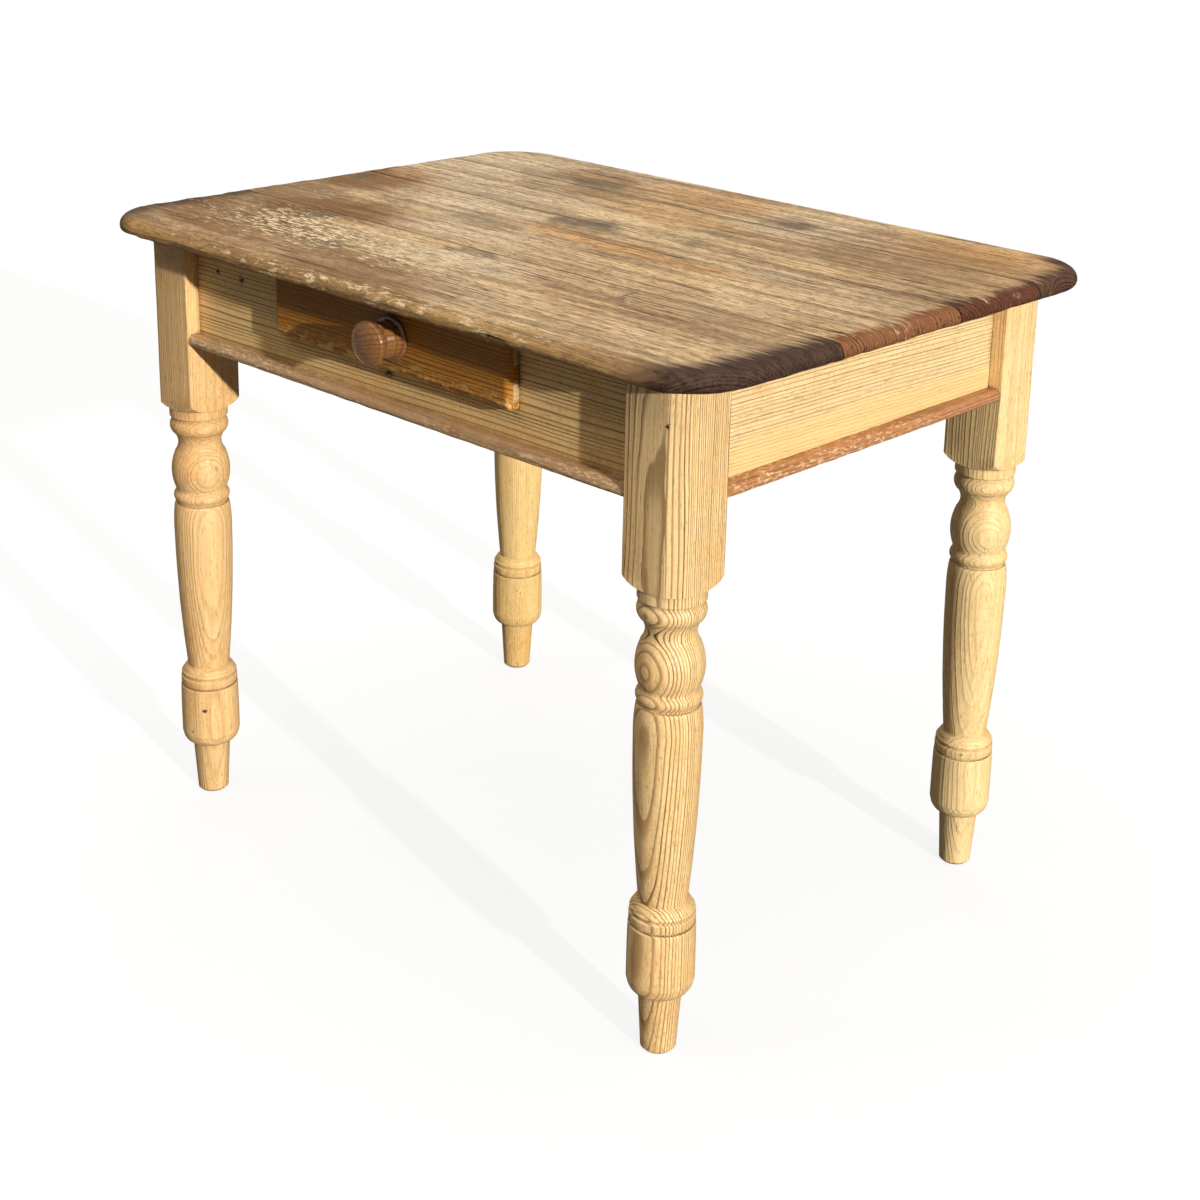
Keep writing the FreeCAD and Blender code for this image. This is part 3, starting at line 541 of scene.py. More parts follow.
for apron_name, (grain, pith, early, late, ring_width, contrast) in APRONS.items():
    apron_pine = pine(apron_name + "_pine", grain, pith, early, late, ring_width, wander=0.0022,
                      contrast=contrast, fleck=0.6, late_from=0.64, speckle=0.5,
                      rubbed_share=0.1, tilt=APRON_TILT[grain])
    if apron_name == "apron_front":
        knots(apron_pine, APRON_KNOTS)
    if apron_name == "apron_right":
        plain_foot(apron_pine)
    dress(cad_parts[apron_name], apron_pine)


# Nosings. A half round moulding glued and pinned along the foot of each apron. It stands
# proud and takes the knocks, so its stain is worn through to pale wood in specks and patches.

NOSING_HEIGHT = 13 * MM
NOSING_DEPTH = 17 * MM
NOSING_ROUND = 8.2 * MM
NOSING_FOOT_ROUND = 3.4 * MM
NOSING_TURNS = {"nosing_front": 0, "nosing_right": 90, "nosing_back": 180, "nosing_left": 270}
LATE_STAIN = (0.35, 0.35, 0.35)


def nosing(name, turn):
    """One length of the moulding, modelled along X and turned to its own side."""
    low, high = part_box(name)
    middle = (low + high) / 2
    reach = max(high.x - low.x, high.y - low.y)
    piece = begin(bpy.ops.mesh.primitive_cube_add, name + "_worn", size=1)
    bpy.ops.transform.resize(value=(reach, NOSING_DEPTH, NOSING_HEIGHT))
    pick(piece, "edges", lambda edge: runs_along(edge, "x") and middle_of(edge).y < 0
         and middle_of(edge).z > 0)
    bpy.ops.mesh.bevel(offset=NOSING_ROUND, segments=7, affect="EDGES", profile=0.5)
    pick(piece, "edges", lambda edge: runs_along(edge, "x") and middle_of(edge).y < -8 * MM
         and middle_of(edge).z < -6 * MM)
    bpy.ops.mesh.bevel(offset=NOSING_FOOT_ROUND, segments=4, affect="EDGES", profile=0.5)
    slice_along("x", -reach / 2, reach / 2, step=6 * MM)
    pick(piece, "verts", lambda vert: vert.co.y < 5 * MM)
    bpy.ops.object.mode_set(mode="OBJECT")
    rim = piece.vertex_groups.new(name="rim")
    chosen = [vert.index for vert in piece.data.vertices if vert.select]
    rim.add(chosen, 1.0, "REPLACE")
    worn(piece, name + "_knocks", grain=0.022, depth=1.0 * MM, group="rim")
    piece.rotation_euler.z = math.radians(turn)
    piece.location = middle
    settle(piece, smooth_angle=40)
    return piece


def nosing_finish(name, bare, stained, grain):
    """Old brown stain over pine, rubbed off down to the bare wood in specks and patches."""
    material = pine(name, grain, (0.30, 0.2, 0), stained, darker(stained, LATE_STAIN),
                    ring_width=0.004, wander=0.003, contrast=0.6, rubbed_share=0.0, roughness=0.5)
    tree = material.node_tree
    where = object_place(tree)
    stretch = (0.25, 1, 1) if grain == "x" else (1, 0.25, 1)
    specks = cloud(tree, where, 420, stretch, detail=3.0, roughness=0.7)
    patches = cloud(tree, where, 22, stretch, detail=3.0, roughness=0.6)
    share = maths(tree, "MULTIPLY", fade(tree, specks, 0.5, 0.62),
                  fade(tree, patches, 0.38, 0.62, 0.15, 0.85))
    lay_over(material, share, bare)
    return material


long_stain = nosing_finish("nosing_stain_long", (0.92, 0.66, 0.38), (0.58, 0.355, 0.18), "x")
short_stain = nosing_finish("nosing_stain_short", (0.90, 0.58, 0.30), (0.52, 0.235, 0.10), "y")
for nosing_name, turn in NOSING_TURNS.items():
    strip = nosing(nosing_name, turn)
    dress(strip, long_stain if turn % 180 == 0 else short_stain)
    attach(strip, "table")
    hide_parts(nosing_name)


# Top. Four pine boards glued edge to edge, with the corners sawn round and the rim rounded
# over. It was stained dark once. Scrubbing has worn it to grey and honey, the stain has stayed
# in blotches and along the ends, and the front edge is chipped from below.

TOP_LENGTH = 972 * MM
TOP_WIDTH = 704 * MM
TOP_THICKNESS = 20 * MM
TOP_CORNER = 86 * MM
UPPER_ROUND = 12 * MM
LOWER_ROUND = 7 * MM
SEAM_GAP = 0.5 * MM
TOP_Z = LEG_HEIGHT + TOP_THICKNESS / 2
CHIPS_MIDDLE = 0.2
CHIPS_REACH = 0.3
LEAST_CHIPS = 0.3
LEFT_END_CHIPS = 0.7

# For each board: its pith's height and distance across, the width of a ring, the stain left
# on its right end and how far in that reaches.
TOP_BOARDS = {
    "top_board_front": (0.680, -0.300, 0.0040, (0.030, 0.014, 0.010), 0.050),
    "top_board_second": (0.735, -0.175, 0.0044, (0.16, 0.060, 0.022), 0.022),
    "top_board_third": (0.705, 0.045, 0.0042, (0.066, 0.017, 0.008), 0.026),
    "top_board_back": (0.700, 0.270, 0.0036, (0.048, 0.019, 0.013), 0.034),
}


def whole_top(name):
    """The glued panel before it is parted into boards: round corners and rounded rim."""
    panel = begin(bpy.ops.mesh.primitive_cube_add, name, size=1)
    bpy.ops.transform.resize(value=(TOP_LENGTH, TOP_WIDTH, TOP_THICKNESS))
    pick(panel, "edges", lambda edge: runs_along(edge, "z"))
    bpy.ops.mesh.bevel(offset=TOP_CORNER, segments=20, affect="EDGES", profile=0.5)
    pick(panel, "edges", lambda edge: edge.verts[0].co.z > 0 and edge.verts[1].co.z > 0)
    bpy.ops.mesh.bevel(offset=UPPER_ROUND, segments=7, affect="EDGES", profile=0.5)
    foot = -TOP_THICKNESS / 2 + 0.1 * MM
    pick(panel, "edges", lambda edge: edge.verts[0].co.z < foot and edge.verts[1].co.z < foot)
    bpy.ops.mesh.bevel(offset=LOWER_ROUND, segments=4, affect="EDGES", profile=0.5)
    slice_along("x", -TOP_LENGTH / 2, TOP_LENGTH / 2, step=8 * MM)
    return panel


def top_board(name, low, high):
    """One board, parted from the panel at its seams, scrubbed, knocked and chipped."""
    board = whole_top(name + "_worn")
    if low > -TOP_WIDTH / 2:
        bpy.ops.mesh.select_all(action="SELECT")
        bpy.ops.mesh.bisect(plane_co=(0, low + SEAM_GAP / 2, 0), plane_no=(0, 1, 0),
                            clear_inner=True, use_fill=True)
    if high < TOP_WIDTH / 2:
        bpy.ops.mesh.select_all(action="SELECT")
        bpy.ops.mesh.bisect(plane_co=(0, high - SEAM_GAP / 2, 0), plane_no=(0, 1, 0),
                            clear_outer=True, use_fill=True)
    slice_along("y", low, high, step=12 * MM)
    bpy.ops.object.mode_set(mode="OBJECT")
    worn(board, name + "_scrubbing", grain=0.09, depth=1.0 * MM, level=0.92)
    rim = board.vertex_groups.new(name="rim")
    chips = board.vertex_groups.new(name="chips")
    inside_x = TOP_LENGTH / 2 - UPPER_ROUND
    inside_y = TOP_WIDTH / 2 - UPPER_ROUND
    for vert in board.data.vertices:
        if abs(vert.co.x) > inside_x or abs(vert.co.y) > inside_y:
            rim.add([vert.index], 1.0, "REPLACE")
            if vert.co.y < -inside_y + 4 * MM and vert.co.z < 0:
                share = min(1.0, 1 - abs(vert.co.x - CHIPS_MIDDLE) / CHIPS_REACH)
                chips.add([vert.index], max(LEAST_CHIPS, share), "REPLACE")
            elif vert.co.x < -inside_x and vert.co.z < 0:
                chips.add([vert.index], LEFT_END_CHIPS, "REPLACE")
    worn(board, name + "_knocks", grain=0.022, depth=2.2 * MM, group="rim", level=0.82)
    chipping = worn(board, name + "_chips", grain=0.035, depth=15 * MM, group="chips", level=0.2)
    chipping.direction = "Z"
    board.location.z = TOP_Z
    settle(board, smooth_angle=40)
    return board


# Marks on the top. Each sort is a softness and its ovals, and each oval is given by its place
# from the middle of the top, half its length, half its width and its strength.
MARKS = {
    "Pale": (0.8, [
        (-0.42, 0.23, 0.12, 0.12, 1.0), (-0.29, 0.11, 0.15, 0.06, 1.0),
        (-0.19, 0.01, 0.11, 0.05, 1.0), (-0.1, -0.08, 0.11, 0.035, 1.0),
        (0.01, -0.19, 0.1, 0.04, 0.9), (0.3, 0.02, 0.12, 0.04, 0.5),
        (0.13, 0.24, 0.1, 0.06, 0.9), (0.08, -0.27, 0.11, 0.04, 0.3),
        (-0.11, 0.32, 0.22, 0.04, 0.7)]),
    "Brown": (0.6, [
        (-0.45, 0.03, 0.09, 0.07, 1.0), (-0.43, -0.11, 0.065, 0.14, 0.7),
        (-0.31, -0.11, 0.11, 0.05, 1.0), (-0.35, -0.17, 0.08, 0.05, 1.0),
        (-0.32, -0.25, 0.18, 0.08, 0.9), (-0.09, -0.29, 0.15, 0.05, 0.8),
        (-0.45, -0.22, 0.035, 0.08, 1.0), (-0.24, 0.27, 0.07, 0.04, 0.7),
        (-0.15, 0.2, 0.08, 0.03, 0.4), (0.34, 0.19, 0.16, 0.07, 0.5),
        (0.3, 0.27, 0.12, 0.03, 0.4), (-0.04, 0.02, 0.05, 0.02, 0.4),
        (-0.02, 0.26, 0.07, 0.03, 0.3), (0.25, -0.2, 0.1, 0.04, 0.25)]),
    "Honey": (0.7, [
        (0.07, -0.01, 0.17, 0.02, 1.0), (-0.05, 0.29, 0.11, 0.05, 0.7),
        (0.37, 0.28, 0.11, 0.06, 0.9), (0.01, 0.16, 0.09, 0.035, 0.6),
        (-0.43, 0.07, 0.06, 0.04, 0.8)]),
    "Blotch": (0.6, [
        (-0.05, 0.055, 0.045, 0.022, 1.0), (-0.2, 0.06, 0.1, 0.016, 0.2),
        (-0.21, 0.235, 0.055, 0.03, 0.7), (-0.31, 0.23, 0.05, 0.05, 0.4),
        (0.112, 0.245, 0.028, 0.026, 0.9), (0.09, 0.132, 0.024, 0.015, 0.7),
        (0.1, 0.07, 0.026, 0.015, 0.7), (-0.15, -0.028, 0.055, 0.018, 0.5),
        (-0.022, -0.146, 0.03, 0.014, 0.9), (0.12, -0.1, 0.012, 0.016, 0.6),
        (0.22, -0.16, 0.012, 0.022, 0.7), (-0.17, -0.245, 0.024, 0.014, 1.0),
        (-0.3, -0.155, 0.014, 0.01, 1.0), (-0.452, 0.04, 0.018, 0.012, 1.0)]),
    "Scratch": (0.7, [
        (-0.25, -0.215, 0.18, 0.075, 1.0), (-0.06, -0.21, 0.13, 0.07, 0.9),
        (-0.39, -0.07, 0.06, 0.03, 0.6), (-0.3, -0.325, 0.2, 0.016, 0.5),
        (0.385, -0.075, 0.012, 0.02, 0.8), (0.24, -0.16, 0.006, 0.03, 0.9),
        (0.33, -0.03, 0.1, 0.01, 0.7), (0.05, -0.34, 0.3, 0.01, 0.8)]),
}


def old_stain_group():
    """What is left of the stain and where it is worn, as one share for each sort of mark."""
    names = ("Rim", "Front", *MARKS, "Streak", "Crack", "Soaked", "Flake")
    group, given, result = new_group(
        "Old stain", {"Place": "vector", "Rim": "value"}, {name: "value" for name in names})
    place = given["Place"]
    parts = add_node(group, "SeparateXYZ", {0: place}).outputs

    # How far in from the outline a place lies, round the corners too.
    past = []
    for part, half in ((parts["X"], TOP_LENGTH / 2), (parts["Y"], TOP_WIDTH / 2)):
        over = maths(group, "SUBTRACT", maths(group, "ABSOLUTE", part), half - TOP_CORNER)
        over = maths(group, "MAXIMUM", over, 0.0)
        past.append(maths(group, "MULTIPLY", over, over))
    inward = maths(group, "SUBTRACT", TOP_CORNER, maths(group, "SQRT", maths(group, "ADD", *past)))

    # Stain left along the ends and the front, its edge licking in along the grain.
    drift = cloud(group, place, 16, (0.5, 1, 1), detail=4.0, roughness=0.6)
    drift = maths(group, "SUBTRACT", drift, 0.5)
    ragged = maths(group, "ADD", inward, maths(group, "MULTIPLY", drift, 0.05))
    licks = cloud(group, place, 150, (0.06, 1, 1), detail=3.0, roughness=0.6)
    licks = maths(group, "SUBTRACT", licks, 0.5)
    ragged = maths(group, "ADD", ragged, maths(group, "MULTIPLY", licks, 0.06))
    rim = maths(group, "DIVIDE", ragged, given["Rim"])
    right_end = fade(group, parts["X"], 0.37, 0.44)
    left_end = maths(group, "MULTIPLY", fade(group, parts["X"], -0.46, -0.40, 0.9, 0.0),
                     fade(group, parts["Y"], 0.08, 0.16, 1.0, 0.15))
    kept = maths(group, "MAXIMUM", right_end, left_end)
    rim = maths(group, "MULTIPLY", fade(group, rim, 0.4, 1.1, 1.0, 0.0), kept)
    across = maths(group, "ADD", parts["Y"], maths(group, "MULTIPLY", drift, 0.06))
    front = fade(group, across, -0.338, -0.312, 1.0, 0.0)

    # The ovals are bent out of shape, so that no mark shows a plain outline.
    bent = add_node(group, "TexNoise", {"Vector": place, "Scale": 17.0, "Detail": 5.0,
                                                  "Roughness": 0.65})
    bend = vector_maths(group, "SUBTRACT", bent.outputs["Color"], (0.5, 0.5, 0.5))
    bend = vector_maths(group, "MULTIPLY", bend, (0.16, 0.08, 0))
    moved = vector_maths(group, "ADD", place, bend)

    def patches(spots, soft):
        """The strongest of several ovals whose edges fade over the softness."""
        found = None
        for x, y, half_x, half_y, strength in spots:
            oval = add_node(group, "Mapping",
                            {"Vector": moved, "Location": (-x / half_x, -y / half_y, 0),
                             "Scale": (1 / half_x, 1 / half_y, 0)})
            away = vector_maths(group, "LENGTH", oval.outputs[0])
            here = fade(group, away, 1 - soft, 1 + soft, strength, 0.0)
            found = here if found is None else maths(group, "MAXIMUM", found, here)
        return found

    mark = {name: patches(spots, soft) for name, (soft, spots) in MARKS.items()}

    # Scratches, streaks and flakes, drawn out along the grain.
    fibres = cloud(group, place, 180, (0.28, 1, 1), detail=6.0, roughness=0.78)
    lifted = maths(group, "ADD", fibres, maths(group, "MULTIPLY", mark["Scratch"], 0.10))
    mark["Scratch"] = maths(group, "MULTIPLY", fade(group, lifted, 0.60, 0.64), mark["Scratch"])
    long_streak = cloud(group, place, 95, (0.035, 1, 1), detail=3.0, roughness=0.6)
    fine_streak = cloud(group, place, 420, (0.035, 1, 1), detail=4.0, roughness=0.75)
    streak = maths(group, "ADD", maths(group, "MULTIPLY", long_streak, 0.45),
                   maths(group, "MULTIPLY", fine_streak, 0.55))
    soaked = cloud(group, place, 11, (0.5, 1, 1), detail=5.0, roughness=0.7)
    split = cloud(group, place, 260, (0.022, 1, 1), detail=3.0, roughness=0.6)
    crack = maths(group, "MULTIPLY", fade(group, split, 0.60, 0.63),
                  fade(group, soaked, 0.42, 0.60, 0.2, 1))
    flake = cloud(group, place, 210, (0.3, 1, 1), detail=6.0, roughness=0.78)
    put_out(group, result, {**mark, "Rim": rim, "Front": front, "Streak": streak,
                            "Crack": crack, "Soaked": soaked, "Flake": flake})
    return group


OLD_STAIN = old_stain_group()
TOP_EARLY_WOOD = (0.97, 0.72, 0.42)
TOP_LATE_WOOD = (0.29, 0.16, 0.07)
# Painted shade with some grime, where the top meets the aprons and legs beneath it.
TOP_SHADE_AND_GRIME = (0.05, 0.03, 0.018)
GREYED = (0.46, 0.30, 0.155)
SCRUBBED_PALE = (0.86, 0.70, 0.50)
HONEY = (0.78, 0.41, 0.15)
OLD_BROWN = (0.22, 0.092, 0.019)
WATER_BLOTCH = (0.13, 0.12, 0.09)
FRONT_EDGE = (0.40, 0.21, 0.055)
STREAK_BROWN = (0.20, 0.11, 0.05)
FLAKE_BROWN = (0.15, 0.08, 0.035)
CRACK_BLACK = (0.05, 0.028, 0.014)
BARE_WOOD = (0.97, 0.76, 0.46)
SEAM_DIRT = (0.05, 0.03, 0.017)


def top_finish(name, pith, ring_width, end_colour, end_reach, low_seam, high_seam):
    """Weathered pine under the last of a dark stain, blotched, scratched and scrubbed, with
    grime in the seams on its two sides, and painted shade where the aprons and legs meet it
    beneath."""
    material = pine(name, "x", pith, TOP_EARLY_WOOD, TOP_LATE_WOOD, ring_width, wander=0.004,
                    contrast=0.7, fleck=0.6, rubbed_share=0.0, shade_and_grime=TOP_SHADE_AND_GRIME, roughness=0.5)
    tree = material.node_tree
    tree.nodes["Principled BSDF"].inputs["Specular IOR Level"].default_value = 0.2
    where = object_place(tree)
    mark = add_node(tree, "Group", {"Place": where, "Rim": end_reach}, node_tree=OLD_STAIN).outputs
    end_early_wood = tuple(1.9 * tone for tone in end_colour)
    end_late_wood = tuple(0.2 * tone for tone in end_colour)
    end_grain = blend_colour(tree, tree.nodes["wood"].outputs["Late"], end_early_wood,
                             end_late_wood)
    across = add_node(tree, "SeparateXYZ", {0: where}).outputs["Y"]
    to_seam = maths(tree, "MINIMUM", maths(tree, "SUBTRACT", across, low_seam),
                    maths(tree, "SUBTRACT", high_seam, across))
    to_seam = maths(tree, "ADD", to_seam, maths(tree, "MULTIPLY", mark["Flake"], 0.003))
    seam = fade(tree, to_seam, 0.0015, 0.0034, 0.9, 0.0)
    open_grain = maths(tree, "SUBTRACT", 1.0, maths(tree, "MULTIPLY", mark["Rim"], 0.65))
    brown = fade(tree, mark["Streak"], 0.42, 0.56, 0.75, 1.0)
    streak = fade(tree, mark["Streak"], 0.48, 0.55, 0.0, 0.6)
    flake = fade(tree, mark["Flake"], 0.50, 0.57, 0.0, 0.55)
    layers = [
        (fade(tree, mark["Soaked"], 0.40, 0.62, 0.0, 0.55), GREYED),
        (maths(tree, "MULTIPLY", mark["Pale"], 0.6), SCRUBBED_PALE),
        (maths(tree, "MULTIPLY", mark["Honey"], 0.8), HONEY),
        (maths(tree, "MULTIPLY", mark["Brown"], brown), OLD_BROWN),
        (maths(tree, "MULTIPLY", mark["Blotch"], 0.85), WATER_BLOTCH),
        (maths(tree, "MULTIPLY", mark["Front"], 0.75), FRONT_EDGE),
        (mark["Rim"], end_grain),
        (maths(tree, "MULTIPLY", streak, open_grain), STREAK_BROWN),
        (maths(tree, "MULTIPLY", flake, open_grain), FLAKE_BROWN),
        (maths(tree, "MULTIPLY", mark["Crack"], 0.95), CRACK_BLACK),
        (mark["Scratch"], BARE_WOOD),
        (seam, SEAM_DIRT),
    ]
    for share, colour in layers:
        lay_over(material, share, colour)
    relief = tree.nodes["relief"]
    relief.inputs["Distance"].default_value = 0.0016
    sunk = maths(tree, "ADD", maths(tree, "MULTIPLY", mark["Streak"], 1.8),
                 maths(tree, "ADD", mark["Crack"], mark["Flake"]))
    rough = maths(tree, "SUBTRACT", maths(tree, "MULTIPLY", mark["Scratch"], 0.5), sunk)
    height = relief.inputs["Height"]
    tree.links.new(maths(tree, "ADD", height.links[0].from_socket, rough), height)
    return material


for board_name, (pith_z, pith_y, ring_width, end_colour, end_reach) in TOP_BOARDS.items():
    low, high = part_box(board_name)
    board = top_board(board_name, low.y, high.y)
    low_seam = low.y if low.y > -TOP_WIDTH / 2 + UPPER_ROUND else -TOP_WIDTH
    high_seam = high.y if high.y < TOP_WIDTH / 2 - UPPER_ROUND else TOP_WIDTH
    dress(board, top_finish(board_name + "_pine", (pith_z, pith_y, 0.3), ring_width,
                            end_colour, end_reach, low_seam, high_seam))
    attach(board, "table")
    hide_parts(board_name)


# Inside. Runners, guides, stops, glue blocks and the drawer's own carcase are plain deal,
# never stained, and darkened by air and dust, with painted shade in their corners.

DEAL_EARLY_WOOD = (0.62, 0.43, 0.22)
DEAL_LATE_WOOD = (0.36, 0.19, 0.08)
RUN_FROM_FRONT_TO_BACK = ("runner_", "guide_", "glue_block_left", "glue_block_right",
                          "drawer_side_")
RUN_FROM_SIDE_TO_SIDE = ("drawer_stop_", "glue_block_", "drawer_back", "drawer_bottom")

deal_along_x = pine("inner_pine_long", "x", (0.5, 0.06, 0), DEAL_EARLY_WOOD, DEAL_LATE_WOOD,
                    ring_width=0.0042, wander=0.004, contrast=0.6, roughness=0.7)
deal_along_y = pine("inner_pine_cross", "y", (0.07, -0.5, 0), DEAL_EARLY_WOOD, DEAL_LATE_WOOD,
                    ring_width=0.0038, wander=0.004, contrast=0.6, roughness=0.7)
for node_name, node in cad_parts.items():
    if node_name.startswith(RUN_FROM_FRONT_TO_BACK):
        dress(node, deal_along_y)
    elif node_name.startswith(RUN_FROM_SIDE_TO_SIDE):
        dress(node, deal_along_x)


# Drawer front. One thick board lapped over the sides' dovetails, rounded along its lower
# edge by years of hands, and darker than the table because its old varnish was left on.

VARNISHED_EARLY_WOOD = (0.50, 0.21, 0.024)
VARNISHED_LATE_WOOD = (0.13, 0.045, 0.006)
VARNISH_RUBBED = (0.66, 0.36, 0.15)
WORN_LIP = (0.80, 0.47, 0.16)

front_varnish = pine("drawer_front_pine", "x", (0.66, -0.31, 0), VARNISHED_EARLY_WOOD,
                     VARNISHED_LATE_WOOD, ring_width=0.0040, wander=0.003, contrast=0.9,
                     late_from=0.6, speckle=0.9, roughness=0.4, rubbed=VARNISH_RUBBED,
                     rubbed_share=0.7)
varnish = front_varnish.node_tree
varnish.nodes["Principled BSDF"].inputs["Specular IOR Level"].default_value = 0.3
varnish_place = object_place(varnish)
varnish_height = add_node(varnish, "SeparateXYZ", {0: varnish_place}).outputs["Z"]
scuffs = cloud(varnish, varnish_place, 160, (0.3, 1, 1), detail=5.0, roughness=0.75)
near_lip = fade(varnish, varnish_height, 0.665, 0.684, 0.9, 0.05)
lay_over(front_varnish,
         maths(varnish, "MULTIPLY", near_lip, fade(varnish, scuffs, 0.48, 0.58)), WORN_LIP)
dress(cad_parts["drawer_front"], front_varnish)


# Knob. Turned from one piece of darker wood, with a dished neck and two beads, polished by
# handling and glued into the drawer front by its spigot.

KNOB_X = 15.5 * MM
KNOB_Z = 700.25 * MM
KNOB_BACK = -286 * MM

# The knob's outline from the end of its spigot to its face, as for the legs.
KNOB_TURNING = [
    (7.0, 0.0), (7.0, 20.0), (24.6, 20.1), (25.0, 20.6), (25.0, 22.6), (23.4, 24.0), (21.2, 24.6),
    (20.4, 30.0), (19.2, 30.6), (19.2, 31.4), (20.3, 32.0), (17.2, 40.2), (18.6, 40.8),
    (20.0, 41.8), (18.6, 43.0), (16.6, 43.4), (23.6, 48.6, 1.2), (24.6, 51.0), (24.8, 53.0),
    (22.0, 56.0, 0.8), (16.0, 58.7, 0.5), (8.5, 60.4, 0.25), (1.0, 61.0, 0.05),
]
KNOB_EARLY_WOOD = (0.30, 0.122, 0.032)
KNOB_LATE_WOOD = (0.05, 0.018, 0.006)
KNOB_RUBBED = (0.60, 0.38, 0.2)

knob = begin(bpy.ops.mesh.primitive_circle_add, "drawer_knob_turned", vertices=64,
             radius=KNOB_TURNING[0][0] * MM, fill_type="NGON")
turn_up(KNOB_TURNING)
bpy.ops.object.mode_set(mode="OBJECT")
knob.rotation_euler.x = math.radians(90)
knob.location = (KNOB_X, KNOB_BACK, KNOB_Z)
settle(knob, smooth_angle=38)
knob_polish = pine("knob_polish", "y", (0.060, 0.66, 0), KNOB_EARLY_WOOD, KNOB_LATE_WOOD,
                   ring_width=0.0040, wander=0.010, contrast=0.45, fleck=0.3, speckle=1.0,
                   roughness=0.2, rubbed=KNOB_RUBBED, rubbed_share=0.5)
polish_skin = knob_polish.node_tree.nodes["Principled BSDF"]
polish_skin.inputs["Coat Weight"].default_value = 1.0
polish_skin.inputs["Coat Roughness"].default_value = 0.08
dress(knob, knob_polish)
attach(knob, "drawer")
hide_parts("drawer_knob")


# Nails. Three plain wire nails hold the drawer's bottom up to its back, dulled by rust.

DULL_IRON = (0.16, 0.15, 0.14)
RUST = (0.20, 0.075, 0.03)

iron, rust, metal, rust_place = new_finish("rusted_iron")
pitting = cloud(rust, rust_place, 900, detail=4.0, roughness=0.6)
rusted = blend_colour(rust, fade(rust, pitting, 0.42, 0.6), DULL_IRON, RUST)
rust.links.new(rusted, metal.inputs["Base Color"])
rust.links.new(fade(rust, pitting, 0.42, 0.6, 1.0, 0.1), metal.inputs["Metallic"])
rust.links.new(fade(rust, pitting, 0.42, 0.6, 0.42, 0.85), metal.inputs["Roughness"])
pits = add_node(rust, "Bump", {"Height": pitting, "Distance": 0.0002, "Strength": 0.6})
rust.links.new(pits.outputs[0], metal.inputs["Normal"])
dress(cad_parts["drawer_bottom_nails"], iron)


# Studio. A plain white floor that keeps a faint shadow, a lamp low on the right with crisp
# shadows, weak broad ones from the front left and the back, and a sky brightest overhead.

FLOOR_SIZE = 80
FLOOR_TONE = 0.15
FLOOR_TONE_SEEN = 0.85
FLOOR_GLOW = 1.05
FLOOR_GLOW_SHARE = 0.8
SKY_COLOUR = (1, 0.96, 0.89, 1)
SKY_AT_HORIZON = 0.02
SKY_OVERHEAD = 2.2
SKY_MIRRORED = 0.3
SKY_SEEN = 1.15

bpy.ops.object.select_all(action="DESELECT")
bpy.ops.mesh.primitive_plane_add(size=FLOOR_SIZE, location=(0, 0, 0))
floor = bpy.context.object
floor.name = "studio_floor"
paint = bpy.data.materials.new("floor_paint")
paint.use_nodes = True
floor_tree = paint.node_tree
floor_tree.nodes.remove(floor_tree.nodes["Principled BSDF"])
path = add_node(floor_tree, "LightPath")
seen = path.outputs["Is Camera Ray"]
tone = maths(floor_tree, "ADD",
             maths(floor_tree, "MULTIPLY", seen, FLOOR_TONE_SEEN - FLOOR_TONE), FLOOR_TONE)
matt = add_node(floor_tree, "BsdfDiffuse", {"Color": tone})
glow = add_node(floor_tree, "Emission", {"Color": (1, 1, 1, 1), "Strength": FLOOR_GLOW})
glow_share = maths(floor_tree, "MULTIPLY", seen, FLOOR_GLOW_SHARE)
mixed = add_node(floor_tree, "MixShader", {0: glow_share, 1: matt.outputs[0], 2: glow.outputs[0]})
floor_tree.links.new(mixed.outputs[0], floor_tree.nodes["Material Output"].inputs["Surface"])
dress(floor, paint)

world = bpy.data.worlds.new("studio")
bpy.context.scene.world = world
world.use_nodes = True
sky = world.node_tree
even = sky.nodes["Background"]
even.inputs["Color"].default_value = SKY_COLOUR
ray = add_node(sky, "TexCoord").outputs["Generated"]
lift = maths(sky, "MAXIMUM", add_node(sky, "SeparateXYZ", {0: ray}).outputs["Z"], 0.0)
overhead = maths(sky, "MULTIPLY", maths(sky, "POWER", lift, 4.0), SKY_OVERHEAD)
overhead = maths(sky, "ADD", overhead, SKY_AT_HORIZON)
sky_path = add_node(sky, "LightPath")
mirrored = maths(sky, "MULTIPLY", sky_path.outputs["Is Glossy Ray"], SKY_MIRRORED)
seen_sky = maths(sky, "MULTIPLY", sky_path.outputs["Is Camera Ray"], SKY_SEEN)
seen_sky = maths(sky, "MAXIMUM", mirrored, seen_sky)
sky.links.new(maths(sky, "MAXIMUM", overhead, seen_sky), even.inputs["Strength"])


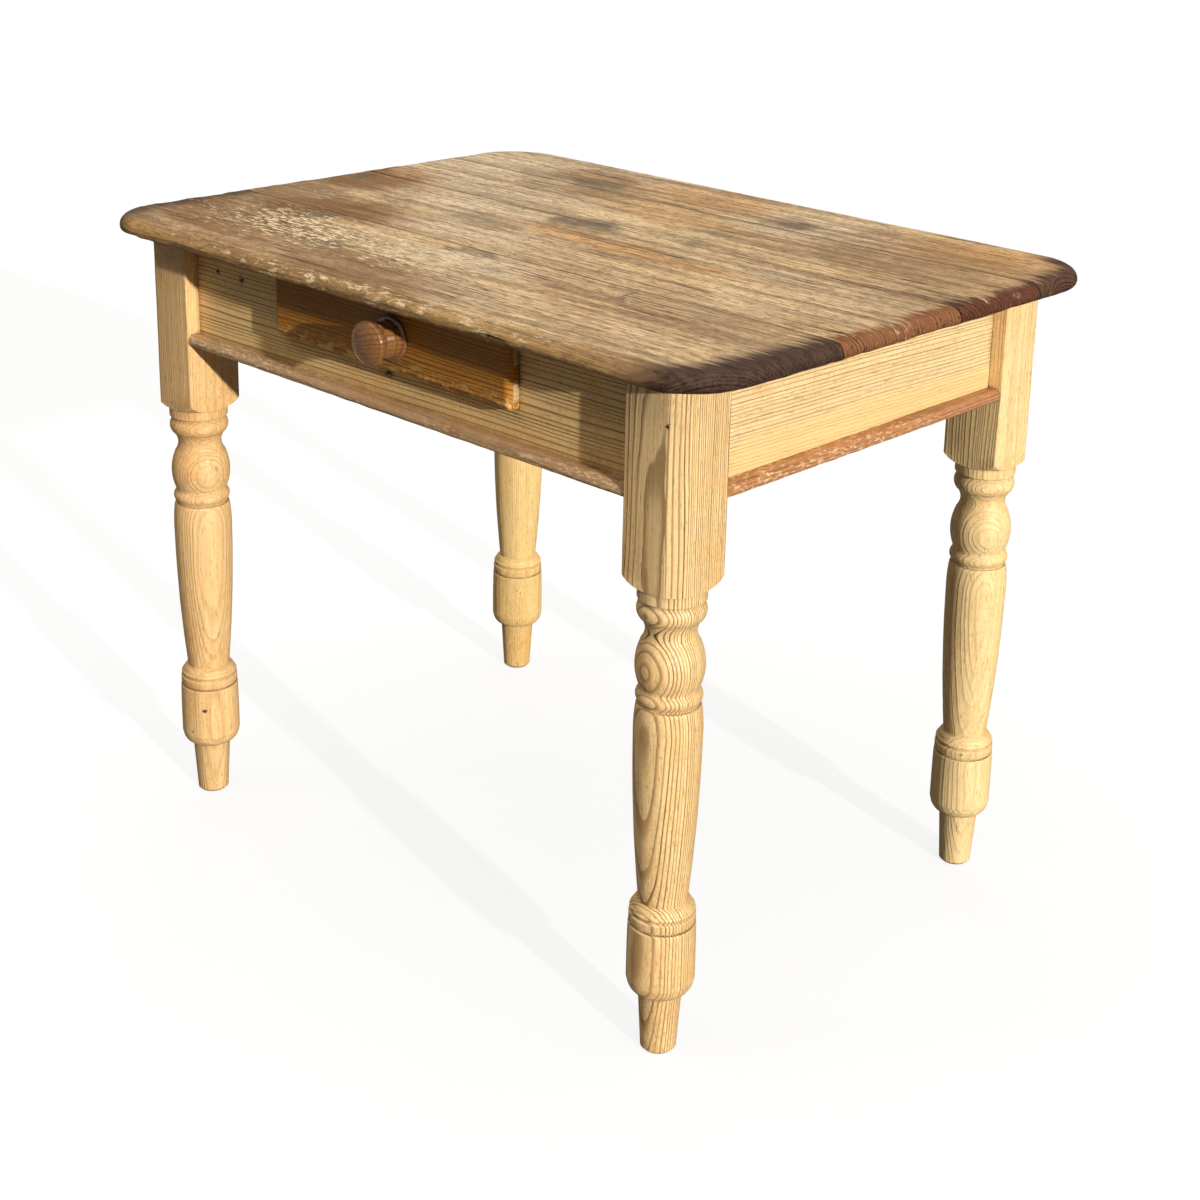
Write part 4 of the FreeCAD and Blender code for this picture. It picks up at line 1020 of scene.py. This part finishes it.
def far_lamp(name, strength, spread, colour, side):
    """A lamp so far off that its rays run side by side, with its spread in degrees. It stands
    on the given side of the table."""
    lamp = bpy.data.lights.new(name, "SUN")
    lamp.energy = strength
    lamp.angle = math.radians(spread)
    lamp.color = colour
    holder = bpy.data.objects.new(name, lamp)
    bpy.context.scene.collection.objects.link(holder)
    holder.rotation_euler = Vector(side).to_track_quat("Z", "Y").to_euler()
    return holder


far_lamp("window_light", strength=3.8, spread=1.2, colour=(1.0, 0.98, 0.94),
         side=(4.44, -1.0, 1.19))
far_lamp("sky_light", strength=0.25, spread=14, colour=(1.0, 0.9, 0.76), side=(-0.5, -0.7, 0.9))
back_lamp = far_lamp("back_light", strength=0.45, spread=20, colour=(1.0, 0.95, 0.86),
                     side=(-0.75, 0.65, 0.2))
back_lamp.visible_glossy = False

# The camera stands where the photograph was taken from, with its turn, dip and roll in
# radians. Its lens and the middle of its view are in pixels of a picture 1200 pixels wide.
LENS_PIXELS = 2010.463
IMAGE_PIXELS = 1200
CAMERA_PLACE = (1.610863, -1.637014, 1.282852)
CAMERA_TURN = 0.738
CAMERA_DIP = 0.295
CAMERA_ROLL = -0.029
CENTRE_X = 658.428
CENTRE_Y = 384.111

ahead = Vector((-math.sin(CAMERA_TURN) * math.cos(CAMERA_DIP),
                math.cos(CAMERA_TURN) * math.cos(CAMERA_DIP), -math.sin(CAMERA_DIP)))
level = Vector((math.cos(CAMERA_TURN), math.sin(CAMERA_TURN), 0))
down = ahead.cross(level)
across = level * math.cos(CAMERA_ROLL) + down * math.sin(CAMERA_ROLL)
below = -level * math.sin(CAMERA_ROLL) + down * math.cos(CAMERA_ROLL)
camera_data = bpy.data.cameras.new("camera")
camera_data.sensor_width = 36
camera_data.lens = LENS_PIXELS / IMAGE_PIXELS * camera_data.sensor_width
camera_data.shift_x = (IMAGE_PIXELS / 2 - CENTRE_X) / IMAGE_PIXELS
camera_data.shift_y = (CENTRE_Y - IMAGE_PIXELS / 2) / IMAGE_PIXELS
camera_data.clip_end = 200
camera = bpy.data.objects.new("camera", camera_data)
bpy.context.scene.collection.objects.link(camera)
turn = Matrix((across, -below, -ahead)).transposed().to_4x4()
camera.matrix_world = Matrix.Translation(CAMERA_PLACE) @ turn
bpy.context.scene.camera = camera
bpy.context.scene.view_settings.view_transform = "Standard"
